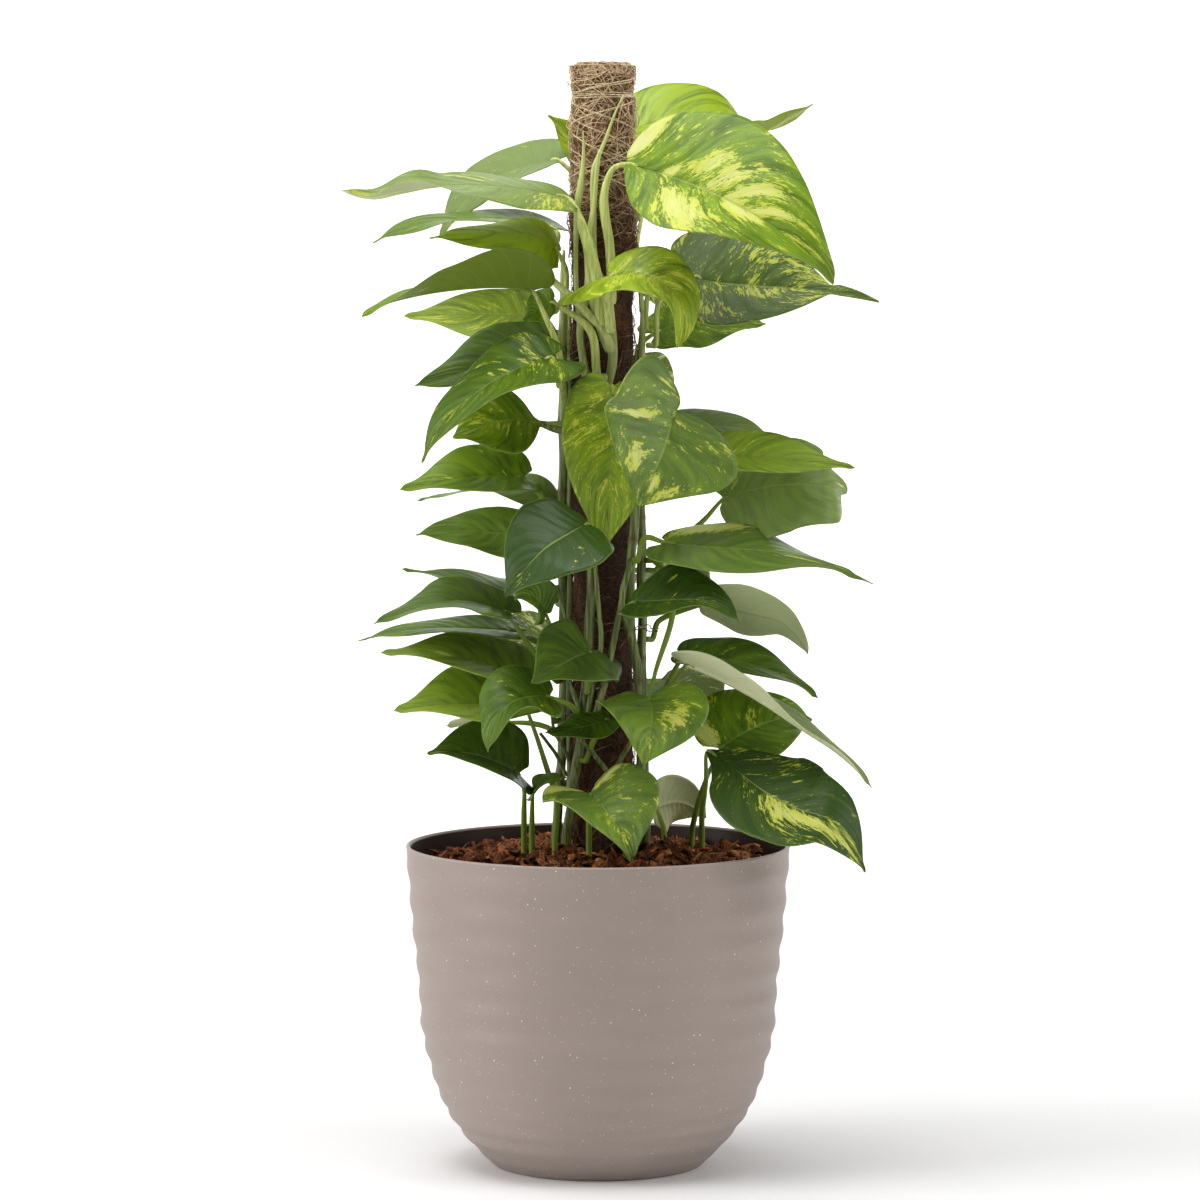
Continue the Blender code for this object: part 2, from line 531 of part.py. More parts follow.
leaf("leaf_26", [(590, 794, -72), (607, 812, -88), (622, 836, -97), (630, 861, -97)], 64,
     (-25, -42, -48), 14, None, 0, [(589, 822, -50), (589, 803, -60)], lobe=(0.5, 1.6))
leaf("leaf_27", [(655, 800, 55), (685, 800, 62), (712, 832, 66)], 60, (-150, -150), 0, None, 0,
     [(660, 815, 50)], cells=MIDDLE, colour=PALE_GREEN)
leaf("leaf_28", [(650, 697, -52), (652, 722, -76), (643, 764, -92)], 72, -5, 10, "vine_right", 560,
     [(672, 580, -10), (672, 618, -22), (656, 670, -42)], lobe=(0.4, 1.2))
leaf("leaf_29", [(590, 654, -50), (568, 661, -76), (532, 683, -98)], 58, 50, 5, "vine_front", 690,
     [(588, 668, -38)], lobe=(3.0, 0.8), colour=DARK_GREEN)
leaf("leaf_30", [(594, 724, -44), (580, 729, -54), (560, 736, -60)], 28, 60, 0, "vine_front", 760,
     [(594, 740, -36)], cells=SMALL, colour=DARK_GREEN)
leaf("leaf_31", [(612, 386, -52), (613, 440, -56), (608, 490, -54), (603, 549, -46)], 72, -14, 12,
     "vine_front", 400, [(607, 393, -42)], lobe=(0.2, 0.7))
leaf("leaf_32", [(674, 412, -80), (667, 440, -84), (653, 475, -90), (639, 506, -90)], 100, 0, 8,
     "vine_right_front", 430, [(662, 434, -30), (680, 425, -56)], lobe=(0.1, 3.8), cells=LARGE)
leaf("leaf_33", [(668, 436, 22), (720, 426, 30), (775, 440, 34)], 58, -65, 0, "vine_back_right", 470,
     [(650, 455, 26)], cells=MIDDLE, colour=PALE_GREEN)
leaf("leaf_34", [(700, 457, -36), (745, 456, -48), (800, 461, -58), (855, 468, -60)], 42, -50, 12,
     "vine_right", 500, [(668, 476, -14)], lobe=0.6, cells=MIDDLE)
leaf("leaf_35", [(723, 499, -8), (773, 487, -24), (812, 485, -38), (836, 505, -46)], 80, (-40, -38, -30), -5,
     "vine_right", 570, [(668, 552, 0), (703, 521, -4)], lobe=(0.5, 0.2), colour=PALE_GREEN)
leaf("leaf_36", [(666, 543, -52), (726, 548, -66), (790, 554, -74), (830, 565, -78), (873, 584, -78)], 72,
     -67, 5, "vine_right_front", 560, [(645, 538, -44)], lobe=0.1, tail=0.1)
leaf("leaf_37", [(632, 603, -62), (672, 600, -82), (708, 602, -94), (740, 622, -100)], 64, -61, 15,
     "vine_right_front", 615, [(626, 610, -48)], lobe=0.3, colour=DARK_GREEN)
leaf("leaf_38", [(705, 604, 15), (750, 608, 5), (785, 620, 0), (808, 654, 0)], 46, (-140, -145), 5,
     "vine_right", 640, [(660, 620, 16)], lobe=0.5, cells=MIDDLE, colour=PALE_GREEN)
leaf("leaf_39", [(684, 655, 0), (730, 660, -8), (775, 672, -12), (818, 698, -12)], 52, -70, 10,
     "vine_right", 720, [(665, 690, 4)], lobe=0.6)
leaf("leaf_40", [(690, 672, -30), (722, 680, -42), (760, 701, -54), (805, 731, -62), (845, 758, -64),
                 (872, 787, -60)], 46, (-115, -100, -80, -75), 20, "vine_right", 740, [(665, 700, -16)],
     lobe=0.6, colour=PALE_GREEN)
leaf("leaf_41", [(720, 749, -20), (750, 730, -12), (785, 718, 0), (812, 720, 12)], 72, -47, 12, None, 0,
     [(694, 820, 12), (704, 785, -4)])
leaf("leaf_42", [(732, 767, -55), (762, 790, -72), (795, 808, -84), (832, 822, -90), (865, 872, -88)], 80,
     (-40, -48, -52), 4, None, 0, [(702, 815, -2), (712, 785, -36)], lobe=(0.8, -0.1), cells=LARGE,
     colour=DARK_GREEN)
leaf("leaf_43", [(693, 277, -12), (720, 283, -20), (770, 287, -30), (833, 291, -38), (879, 302, -36)], 100,
     -45, 12, "vine_right", 345, [(660, 300, -4)], lobe=(2.4, 0.2), tail=0.22, cells=LARGE)
leaf("leaf_45", [(612, 276, -52), (650, 276, -68), (680, 302, -80), (677, 348, -84)], 52, (-55, -50, -30), 8,
     "vine_front", 330, [(607, 292, -44)], lobe=(0.5, -0.9), colour=BRIGHT_GREEN)
leaf("leaf_46", [(655, 333, 20), (700, 321, 26), (766, 324, 30)], 62, -62, -4, "vine_back_right", 365,
     [(640, 345, 24)])
leaf("leaf_47", [(552, 302, -28), (540, 308, -26), (524, 322, -24)], 28, 40, 0, "vine_front", 378,
     [(590, 330, -36)], cells=SMALL)
# At the back, where the photo doesn't show them.
leaf("leaf_48", [(640, 200, 60), (690, 190, 85), (740, 215, 100)], 70, (-120, -130), 8,
     "vine_back_right", 250, [(625, 215, 40)], cells=MIDDLE)
leaf("leaf_49", [(615, 375, 50), (625, 420, 85), (640, 490, 100)], 80, (170, 180), 10, "vine_back_right", 420,
     [(618, 385, 36)], cells=MIDDLE)
leaf("leaf_50", [(655, 268, 60), (672, 290, 85), (680, 330, 95)], 60, (-150, -160), 8, "vine_back_right", 300,
     [(630, 275, 42)], cells=MIDDLE)
leaf("leaf_51", [(572, 340, 55), (535, 360, 85), (500, 385, 100)], 60, (125, 130), 8, "vine_back_left", 370,
     [(580, 345, 38)], cells=MIDDLE)
leaf("leaf_52", [(570, 520, 50), (552, 540, 80), (535, 570, 92)], 64, (150, 165), 8, "vine_back_left", 545,
     [(582, 525, 38)], cells=MIDDLE)
leaf("leaf_53", [(655, 570, 55), (685, 580, 85), (715, 600, 95)], 60, (-130, -140), 8, "vine_back_right", 590,
     [(632, 572, 38)], cells=MIDDLE)
leaf("leaf_54", [(660, 680, 60), (690, 700, 90), (725, 730, 105)], 72, (-140, -150), 8,
     "vine_back_right", 700, [(632, 685, 38)], cells=MIDDLE)
leaf("leaf_55", [(565, 645, 50), (530, 660, 85), (500, 700, 100)], 72, (140, 155), 8, "vine_back_left", 660,
     [(580, 648, 38)], cells=MIDDLE)
leaf("leaf_57", [(592, 775, 72), (602, 800, 95), (612, 828, 104)], 60, (180, 180), 8, None, 0,
     [(598, 800, 64)], cells=MIDDLE)

FUSED = ("vine_back_left", "vine_back_right")


def stalk_points(name, made):
    rib = [at(p) for p in made["rib"]]
    curve, _ = smooth_path(rib)
    end, _ = curve(np.array([0.0, 0.05]))
    bends = [at(p) for p in made["stalk"]]
    if made["stem"] is None:
        start = foot_points(name)
    else:
        centre, stem_radius = stem_at(made["stem"], made["row"])
        away = bends[0] - centre
        away[2] = 0
        away /= np.linalg.norm(away)
        clear = 0 if made["stem"] in FUSED else stem_radius + STALK_GAP
        start = [centre + away * (clear + step) for step in (0, 0.003, 0.006)]
    return start + bends + list(end)


def build_leaf(name, made):
    along_cells, across_cells = made["cells"]
    bm = bmesh.new()
    bmesh.ops.create_grid(bm, x_segments=across_cells, y_segments=along_cells, size=1)
    t = np.array([(vert.co.y + 1) / 2 for vert in bm.verts])
    v = np.array([vert.co.x for vert in bm.verts])
    points = blade_points(made["rib"], made["width"], made["roll"], made["fold"], made["curl"],
                          made["lobe"], made["tail"], t, v)
    for vert, point in zip(bm.verts, points):
        vert.co = point
    bmesh.ops.triangulate(bm, faces=bm.faces[:])
    mesh = bpy.data.meshes.new(name)
    bm.to_mesh(mesh)
    bm.free()
    blade = bpy.data.objects.new(name, mesh)
    bpy.context.scene.collection.objects.link(blade)
    thick = blade.modifiers.new("thickness", "SOLIDIFY")
    thick.thickness = BLADE_THICKNESS
    thick.offset = 0
    apply_modifiers(blade)
    steps = 4 if len(made["stalk"]) < 2 else 6
    stalk = tube(name + "_stalk", stalk_points(name, made), [STALK_RADIUS] * 3 + [STALK_END_RADIUS], 0, steps,
                 straight=0.003)
    combine(blade, [stalk], "UNION")
    return blade


stems = {}
for stem_name in STEMS:
    points = stem_points(stem_name)
    steps = STEM_STEPS.get(stem_name, 10)
    stems[stem_name] = tube(stem_name, points, stem_radii(stem_name), 2, steps)

young_points = [stem_at("vine_front", YOUNG_LEAF_ROW)[0]] + [at(p) for p in YOUNG_LEAF]
young = tube("young_leaf", young_points, [r / 1000 for r in YOUNG_LEAF_RADII], 1, 12)
combine(stems["vine_front"], [young], "UNION")

carried = {stem_name: [] for stem_name in FUSED}
for leaf_name, made in LEAVES.items():
    blade = build_leaf(leaf_name, made)
    if made["stem"] in FUSED:
        carried[made["stem"]].append(blade)
    else:
        finish(blade, "leaf_" + str(made["colour"][0]), made["colour"], 0.35)

for stem_name, stem in stems.items():
    if carried.get(stem_name):
        combine(stem, carried[stem_name], "UNION")
    finish(stem, "stem_green", (0.20, 0.33, 0.07), 0.45)
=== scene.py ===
from math import cos, exp, pi, radians, sin

import bmesh
import bpy
import numpy as np
from mathutils import Matrix, Vector, noise


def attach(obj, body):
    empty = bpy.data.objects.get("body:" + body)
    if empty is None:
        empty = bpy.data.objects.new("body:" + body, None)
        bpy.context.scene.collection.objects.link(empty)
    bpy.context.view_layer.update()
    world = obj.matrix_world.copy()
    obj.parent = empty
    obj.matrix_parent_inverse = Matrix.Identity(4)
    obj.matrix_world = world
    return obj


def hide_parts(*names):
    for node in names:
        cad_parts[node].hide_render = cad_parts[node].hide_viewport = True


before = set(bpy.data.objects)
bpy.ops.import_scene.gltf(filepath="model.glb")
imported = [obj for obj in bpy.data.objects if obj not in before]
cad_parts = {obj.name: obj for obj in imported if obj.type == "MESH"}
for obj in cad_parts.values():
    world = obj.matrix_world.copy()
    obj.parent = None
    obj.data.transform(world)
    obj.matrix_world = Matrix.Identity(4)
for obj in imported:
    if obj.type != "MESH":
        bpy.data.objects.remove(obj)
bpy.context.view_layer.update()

# The pot is one injection-moulded shell of speckled taupe plastic, with a thin rolled lip and soft
# uneven bands all the way down to a rounded foot. Its wall is about 2 mm thick.
POT_HEIGHT = 0.209
RIM_RADIUS = 0.125
POT_WALL = 0.0022
LIP_ROUND = 0.0009
BAND_RELIEF = 0.0008
POT_OUTLINE = [(0.1250, 0.209), (0.1234, 0.1893), (0.1204, 0.1539), (0.1169, 0.1223), (0.1149, 0.0908),
               (0.1107, 0.0710), (0.1050, 0.0512), (0.0980, 0.0354), (0.0900, 0.0235), (0.0800, 0.0116),
               (0.0713, 0.0037), (0.0674, 0.0)]
BAND_HEIGHTS = [0.2150, 0.1951, 0.1721, 0.1517, 0.1304, 0.1118, 0.0926, 0.0757, 0.0582, 0.0439, 0.0319,
                0.0195, 0.0060]
BAND_FADE = 0.016
FOOT_ROUND = [(0.0700, 0.0018), (0.0684, 0.0005), (0.0668, 0.0)]
FLOOR_TOP = 0.0034
INNER_ROWS = [0.2000, 0.2030, 0.2055, 0.2075]
POT_STEPS = 168
SPECK_SCALE = 230.0
DUST_SCALE = 520.0
TAUPE = (0.315, 0.254, 0.224, 1)
# Pale taupe serves both the plastic's own cloudy tone and the painted highlight along the lip.
PALE_TAUPE_AND_HIGHLIGHT = (0.420, 0.350, 0.312, 1)
# The dark brown of the painted shade inside the pot.
INNER_WALL_SHADE = (0.034, 0.014, 0.007, 1)
SPECKLE = (0.86, 0.84, 0.80, 1)


def smooth_path(points):
    """A curve through the points as a function of its own length from 0 to 1, and its length."""
    p = np.asarray(points, float)
    if len(p) == 2:
        p = np.array([p[0], (p[0] + p[1]) / 2, p[1]])
    knots = np.concatenate([[0], np.cumsum(np.linalg.norm(np.diff(p, axis=0), axis=1) ** 0.75)])
    knots /= knots[-1]
    slope = np.empty_like(p)
    slope[1:-1] = (p[2:] - p[:-2]) / (knots[2:] - knots[:-2])[:, None]
    slope[0] = 2 * (p[1] - p[0]) / (knots[1] - knots[0]) - slope[1]
    slope[-1] = 2 * (p[-1] - p[-2]) / (knots[-1] - knots[-2]) - slope[-2]

    def position(u):
        i = np.clip(np.searchsorted(knots, u, side="right") - 1, 0, len(p) - 2)
        h = (knots[i + 1] - knots[i])[:, None]
        t = (u - knots[i])[:, None] / h
        start = (2 * t**3 - 3 * t**2 + 1) * p[i] + (t**3 - 2 * t**2 + t) * h * slope[i]
        return start + (3 * t**2 - 2 * t**3) * p[i + 1] + (t**3 - t**2) * h * slope[i + 1]

    track = position(np.linspace(0, 1, 241))
    run = np.concatenate([[0], np.cumsum(np.linalg.norm(np.diff(track, axis=0), axis=1))])
    length = run[-1]
    tangents = np.gradient(track, run, axis=0)
    tangents /= np.linalg.norm(tangents, axis=1, keepdims=True)

    def curve(f):
        inside = np.clip(f, 0, 1)
        place = np.stack([np.interp(inside * length, run, track[:, k]) for k in range(p.shape[1])], 1)
        way = np.stack([np.interp(inside * length, run, tangents[:, k]) for k in range(p.shape[1])], 1)
        way /= np.linalg.norm(way, axis=1, keepdims=True)
        return place + (f - inside)[:, None] * way * length, way

    return curve, length


class Shade:
    """A socket in a material's node tree. Sums, differences and products of it add Math nodes."""

    def __init__(self, tree, socket=None):
        self.tree = tree
        self.socket = socket

    def node(self, kind, settings, inputs, output=0):
        """Adds a node, with its settings first, then the values or links of its sockets."""
        made = self.tree.nodes.new("ShaderNode" + kind)
        for key, value in settings.items():
            setattr(made, key, value)
        for key, value in inputs.items():
            if isinstance(value, Shade):
                self.tree.links.new(value.socket, made.inputs[key])
            else:
                made.inputs[key].default_value = value
        return Shade(self.tree, made.outputs[output])

    def output(self, which):
        return Shade(self.tree, self.socket.node.outputs[which])

    def maths(self, operation, first, second):
        return self.node("Math", {"operation": operation}, {0: first, 1: second})

    def __add__(self, other):
        return self.maths("ADD", self, other)

    __radd__ = __add__

    def __sub__(self, other):
        return self.maths("SUBTRACT", self, other)

    def __rsub__(self, other):
        return self.maths("SUBTRACT", other, self)

    def __mul__(self, other):
        return self.maths("MULTIPLY", self, other)

    __rmul__ = __mul__

    def __abs__(self):
        return self.maths("ABSOLUTE", self, 0.0)

    def greater(self, other):
        return self.maths("MAXIMUM", self, other)

    def wave(self):
        """Its fraction as a triangle wave: 0 at whole numbers, 1 half way between them."""
        return 1 - abs(self.maths("FRACT", self, 0.0) * 2 - 1)

    def step(self, low, high):
        """0 below low, 1 above high, eased between them."""
        return self.node("MapRange", {"interpolation_type": "SMOOTHSTEP"},
                         {"Value": self, "From Min": low, "From Max": high})

    def mix(self, start, end):
        """The colour start where this is 0, and end where it is 1."""
        return self.node("Mix", {"data_type": "RGBA"}, {0: self, 6: start, 7: end}, 2)

    def place(self, scale=(1, 1, 1)):
        """The point on the object, stretched by scale."""
        spot = self.node("TexCoord", {}, {}, "Object")
        return self.node("Mapping", {}, {"Vector": spot, "Scale": scale})

    def parts(self):
        """The three parts of a vector."""
        first = self.node("SeparateXYZ", {}, {"Vector": self})
        return first, first.output(1), first.output(2)

    def height(self):
        """How high the point on the object lies."""
        return self.place().parts()[2]

    def painted(self, name, kind="Fac"):
        """What the mesh code wrote on the points under this name."""
        return self.node("Attribute", {"attribute_name": name}, {}, kind)

    def noise(self, where, scale, detail=3, roughness=0.55, distortion=0.0):
        return self.node("TexNoise", {}, {"Vector": where, "Scale": scale, "Detail": detail,
                                          "Roughness": roughness, "Distortion": distortion})


def new_material(name):
    made = bpy.data.materials.new(name)
    made.use_nodes = True
    return made, Shade(made.node_tree)


def set_surface(made, colour, roughness, height=None, distance=0.001, strength=1.0, **fixed):
    """Feeds a material's shader. The fixed ones are sockets with one value all over."""
    tree = made.node_tree
    shader = tree.nodes["Principled BSDF"]
    for key, value in {"Base Color": colour, "Roughness": roughness}.items():
        if isinstance(value, Shade):
            tree.links.new(value.socket, shader.inputs[key])
        else:
            shader.inputs[key].default_value = value
    for key, value in fixed.items():
        shader.inputs[key.replace("_", " ")].default_value = value
    if height is not None:
        bump = height.node("Bump", {}, {"Height": height, "Distance": distance, "Strength": strength})
        tree.links.new(bump.socket, shader.inputs["Normal"])
    return made


def add_piece(name, bm, surface, sharp=None):
    """Makes the mesh an object at the origin, smooth apart from edges sharper than sharp degrees."""
    mesh = bpy.data.meshes.new(name)
    bm.to_mesh(mesh)
    bm.free()
    mesh.shade_smooth()
    if sharp:
        mesh.set_sharp_from_angle(angle=radians(sharp))
    obj = bpy.data.objects.new(name, mesh)
    bpy.context.scene.collection.objects.link(obj)
    mesh.materials.append(surface)
    return obj


def set_attribute(mesh, name, kind, values):
    made = mesh.attributes.new(name, kind, "POINT")
    key = "vector" if kind == "FLOAT_VECTOR" else "value"
    made.data.foreach_set(key, np.asarray(values, np.float32).ravel())


def dress(node, surface):
    """Gives a carried-over solid its material."""
    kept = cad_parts[node].data.materials
    kept.clear()
    kept.append(surface)


def turned(profile, steps):
    """A closed bmesh turned about the z axis from (radius, height) points, outside first."""
    bm = bmesh.new()
    verts = [bm.verts.new((r, 0, z)) for r, z in profile]
    edges = [bm.edges.new(pair) for pair in zip(verts, verts[1:] + verts[:1])]
    bmesh.ops.spin(bm, geom=verts + edges, cent=(0, 0, 0), axis=(0, 0, 1), angle=2 * pi, steps=steps,
                   use_merge=True)
    bmesh.ops.remove_doubles(bm, verts=bm.verts[:], dist=1e-6)
    bmesh.ops.recalc_face_normals(bm, faces=bm.faces[:])
    return bm


outline_curve, _ = smooth_path(POT_OUTLINE)
outline_points, _ = outline_curve(np.linspace(0, 1, 300))


def pot_radius(z):
    return float(np.interp(z, outline_points[::-1, 1], outline_points[::-1, 0]))


def band_swell(z):
    """Between -1 in a groove and 1 on a band's crest."""
    heights = BAND_HEIGHTS[::-1]
    return cos(2 * pi * np.interp(z, heights, np.arange(len(heights))))


pot_profile = []
for k in range(7):
    turn = pi / 2 * k / 6
    pot_profile.append((RIM_RADIUS - LIP_ROUND * (1 - sin(turn)), POT_HEIGHT - LIP_ROUND * (1 - cos(turn))))
for z in np.linspace(POT_HEIGHT - 0.0015, 0.004, 160):
    pot_profile.append((pot_radius(z), z))
pot_profile += [*FOOT_ROUND, (0.0, 0.0), (0.0, FLOOR_TOP)]
for z in [*np.linspace(FLOOR_TOP + 0.001, POT_HEIGHT - 0.012, 28), *INNER_ROWS]:
    pot_profile.append((pot_radius(z) - POT_WALL - BAND_RELIEF, z))
pot_profile += [(RIM_RADIUS - POT_WALL, POT_HEIGHT - 0.0006), (RIM_RADIUS - POT_WALL + 0.0004, POT_HEIGHT)]
bm = turned(pot_profile, POT_STEPS)
for vert in bm.verts:
    radius = vert.co.xy.length
    if radius > pot_radius(vert.co.z) - POT_WALL / 2 and 0.003 < vert.co.z < POT_HEIGHT - LIP_ROUND:
        fade = min((POT_HEIGHT - vert.co.z) / BAND_FADE, 1)
        uneven = 0.85 + 0.55 * noise.noise((vert.co.x * 16, vert.co.y * 16, vert.co.z * 30))
        vert.co.xy *= 1 + BAND_RELIEF * band_swell(vert.co.z) * fade * min(uneven, 1) / radius

pot_plastic, s = new_material("speckled_taupe_plastic")
cloud = s.noise(s.place(), 9, 4, 0.6)
cells = s.node("TexVoronoi", {}, {"Vector": s.place(), "Scale": SPECK_SCALE, "Randomness": 1.0})
chance = s.node("SeparateColor", {}, {"Color": cells.output("Color")})
dot = (1 - cells.step(0.07, 0.12)) * chance.step(0.74, 0.82)
fine_cells = s.node("TexVoronoi", {}, {"Vector": s.place(), "Scale": DUST_SCALE})
fine_chance = s.node("SeparateColor", {}, {"Color": fine_cells.output("Color")})
dust = (1 - fine_cells.step(0.10, 0.20)) * fine_chance.step(0.84, 0.9)
# Painted highlight: the top of the lip is painted lighter, a thin line of light along the rim.
lip_highlight = s.height().step(POT_HEIGHT - 0.0016, POT_HEIGHT - 0.0004)
body = (cloud * 0.5 + lip_highlight * 0.45).mix(TAUPE, PALE_TAUPE_AND_HIGHLIGHT)
# Painted shade: inside the rim the wall is painted dark brown, as shade in the pot and a painted reflection
# of the bark, with no speckles.
inner_shade = s.painted("inner_shade")
body = inner_shade.mix(body, INNER_WALL_SHADE)
grain = s.noise(s.place(), 900, 2)
set_surface(pot_plastic, ((dot + dust * 0.6) * (1 - inner_shade)).mix(body, SPECKLE), 0.42 + cloud * 0.12,
            grain, distance=0.0001, strength=0.25, Specular_IOR_Level=0.35)

pot = add_piece("pot_shell", bm, pot_plastic, sharp=40)
# The painted shade covers the inner wall from just under the lip down.
inner_shade = []
for vert in pot.data.vertices:
    deep = (pot_radius(vert.co.z) - 0.0014 - vert.co.xy.length) / 0.0006
    inner_shade.append(min(max(deep, 0), 1) * min(max((POT_HEIGHT - 0.0009 - vert.co.z) / 0.0006, 0), 1))
set_attribute(pot.data, "inner_shade", "FLOAT", inner_shade)
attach(pot, "root")
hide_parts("pot")

# Potting soil fills the pot under the bark: dark, damp peat, which shows only in the gaps between chips.
# The carried-over solid keeps its shape and its holes for the stems.
PEAT = (0.030, 0.018, 0.012, 1)
PEAT_LIGHT = (0.085, 0.052, 0.034, 1)

soil_peat, s = new_material("damp_peat")
lumps = s.noise(s.place(), 260, 5, 0.7)
set_surface(soil_peat, lumps.step(0.35, 0.75).mix(PEAT, PEAT_LIGHT), 0.95, lumps, distance=0.0015)
dress("soil", soil_peat)

# Bark mulch is a loose layer of split, red-brown pine chips, thrown on by hand just under the rim.
# A bed of crumbs carries larger chips that lie at all angles.
BARK_TOP = 0.1985
BARK_MOUND = 0.009
MOUND_SPREAD = 0.0029
BARK_BOTTOM = 0.1904
BARK_RADIUS = 0.1196
BED_SINK = 0.0030
CRUMB = 0.0016
CHIPS = 820
CHIP_LONG = (0.009, 0.026)
CHIP_ACROSS = (0.0028, 0.0080)
CHIP_THICK = (0.0010, 0.0030)
CHIP_LIFT = (-0.0035, 0.0032)
CHIP_PITCH = 0.42
CHIP_ROLL = 0.7
BARK_SEED = 11
CHIP_CLEARANCE = 0.024
POLE_X = 0.003
BARK_DARK = (0.022, 0.008, 0.004, 1)
BARK_RED = (0.460, 0.140, 0.040, 1)
BARK_PALE = (0.700, 0.310, 0.130, 1)


def bark_height(x, y):
    return BARK_TOP + BARK_MOUND * exp(-(x * x + y * y) / MOUND_SPREAD)


rng = np.random.default_rng(BARK_SEED)
rings = np.linspace(BARK_RADIUS, 0, 34)
bm = turned([(r, BARK_TOP) for r in rings] + [(0.0, BARK_BOTTOM), (BARK_RADIUS, BARK_BOTTOM)], 110)
chip_tint = bm.verts.layers.float.new("tint")
for vert in bm.verts:
    if vert.co.z > BARK_BOTTOM + 0.004:
        x, y = vert.co.x, vert.co.y
        crumb = noise.fractal(vert.co * 190, 0.8, 2.0, 3)
        edge = min((BARK_RADIUS - (x * x + y * y) ** 0.5) / 0.004, 1)
        vert.co.z = bark_height(x, y) - BED_SINK + CRUMB * crumb * edge
for _ in range(CHIPS):
    reach = (BARK_RADIUS - 0.005) * rng.random() ** 0.5
    angle = rng.random() * 2 * pi
    x, y = reach * cos(angle), reach * sin(angle)
    long = rng.uniform(*CHIP_LONG)
    across = rng.uniform(*CHIP_ACROSS)
    thick = rng.uniform(*CHIP_THICK)
    if ((x - POLE_X) ** 2 + y * y) ** 0.5 < CHIP_CLEARANCE or reach + long / 2 > BARK_RADIUS - 0.001:
        continue
    lift = rng.uniform(*CHIP_LIFT)
    turn = Matrix.Rotation(rng.uniform(0, pi), 4, "Z") @ Matrix.Rotation(rng.normal(0, CHIP_PITCH), 4, "Y")
    turn = turn @ Matrix.Rotation(rng.normal(0, CHIP_ROLL), 4, "X")
    turn = Matrix.Translation((x, y, bark_height(x, y) + lift)) @ turn
    shape = Matrix.Diagonal((long, across, thick, 1))
    chip = bmesh.ops.create_cone(bm, cap_ends=True, segments=8, radius1=0.5, radius2=0.40, depth=1)["verts"]
    tint = rng.random()
    for vert in chip:
        vert.co.xy *= rng.uniform(0.70, 1.25)
        vert.co.z += rng.uniform(-0.30, 0.30)
        vert[chip_tint] = tint
        vert.co = turn @ shape @ vert.co

bark_wood, s = new_material("pine_bark")
tint = s.painted("tint")
grain = s.noise(s.place((1, 1, 0.5)), 230, 5, 0.7, 1.2)
colour = (grain.step(0.34, 0.62) * (tint * 0.75 + 0.35)).mix(BARK_DARK, BARK_RED)
colour = (tint.step(0.55, 1.0) * grain.step(0.40, 0.66)).mix(colour, BARK_PALE)
set_surface(bark_wood, colour, 0.70 + grain * 0.2, grain, distance=0.0016, Specular_IOR_Level=0.25)

bark = add_piece("bark_chips", bm, bark_wood, sharp=28)
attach(bark, "root")
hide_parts("bark_mulch")

# The moss pole's stake is a plain wooden rod, held inside the coir from the pot's floor to just under
# the top. Nothing of it shows.
STAKE_DARK = (0.16, 0.09, 0.045, 1)
STAKE_LIGHT = (0.36, 0.24, 0.13, 1)

stake_wood, s = new_material("stake_wood")
rings_grain = s.noise(s.place((1, 1, 0.06)), 260, 4, 0.6, 0.6)
set_surface(stake_wood, rings_grain.mix(STAKE_DARK, STAKE_LIGHT), 0.75, rings_grain, distance=0.0004)
dress("pole_core", stake_wood)

# The coir sleeve is a mat of coconut fibre wrapped round the stake: paler at its top and darker lower
# down. The felted mat carries loose strands that stand a little off it.
POLE_TOP = 0.7135
SLEEVE_BOTTOM = 0.030
SLEEVE_RADIUS = 0.0193
SLEEVE_BORE = 0.0134
SLEEVE_CAP = 0.0085
PINCH_HEIGHT = 0.6948
PINCH_DEPTH = 0.0021
PINCH_WIDTH = 0.0035
FLUFF = 0.00035
PALE_TOP_FROM = 0.600
PALE_TOP_TO = 0.655
# How many strands of each colour there are, and the share of them that start in the paler top.
STRANDS = {"dark": 1500, "tan": 2000, "straw": 620}
TOP_SHARE = {"dark": 0.25, "tan": 0.35, "straw": 0.75}
COIR_DARK = (0.022, 0.010, 0.006, 1)
COIR_BROWN = (0.100, 0.044, 0.020, 1)
COIR_RUST = (0.290, 0.120, 0.046, 1)
COIR_TAN = (0.600, 0.400, 0.205, 1)
COIR_STRAW = (0.940, 0.760, 0.480, 1)


def strands(name, paths, surface, sides_level=0):
    """One mesh of round closed strands. Each path is its points and a radius for each of them."""
    data = bpy.data.curves.new(name, "CURVE")
    data.dimensions = "3D"
    data.bevel_depth = 1
    data.bevel_resolution = sides_level
    data.use_fill_caps = True
    for points, radii in paths:
        spline = data.splines.new("POLY")
        spline.points.add(len(points) - 1)
        spline.points.foreach_set("co", np.column_stack([points, np.ones(len(points))]).ravel())
        spline.points.foreach_set("radius", np.asarray(radii, np.float32))
    shape = bpy.data.objects.new(name, data)
    bpy.context.scene.collection.objects.link(shape)
    bpy.context.view_layer.update()
    mesh = bpy.data.meshes.new_from_object(shape.evaluated_get(bpy.context.evaluated_depsgraph_get()))
    bpy.data.objects.remove(shape, do_unlink=True)
    bm = bmesh.new()
    bm.from_mesh(mesh)
    bmesh.ops.remove_doubles(bm, verts=bm.verts[:], dist=1e-7)
    bmesh.ops.recalc_face_normals(bm, faces=bm.faces[:])
    return add_piece(name, bm, surface)


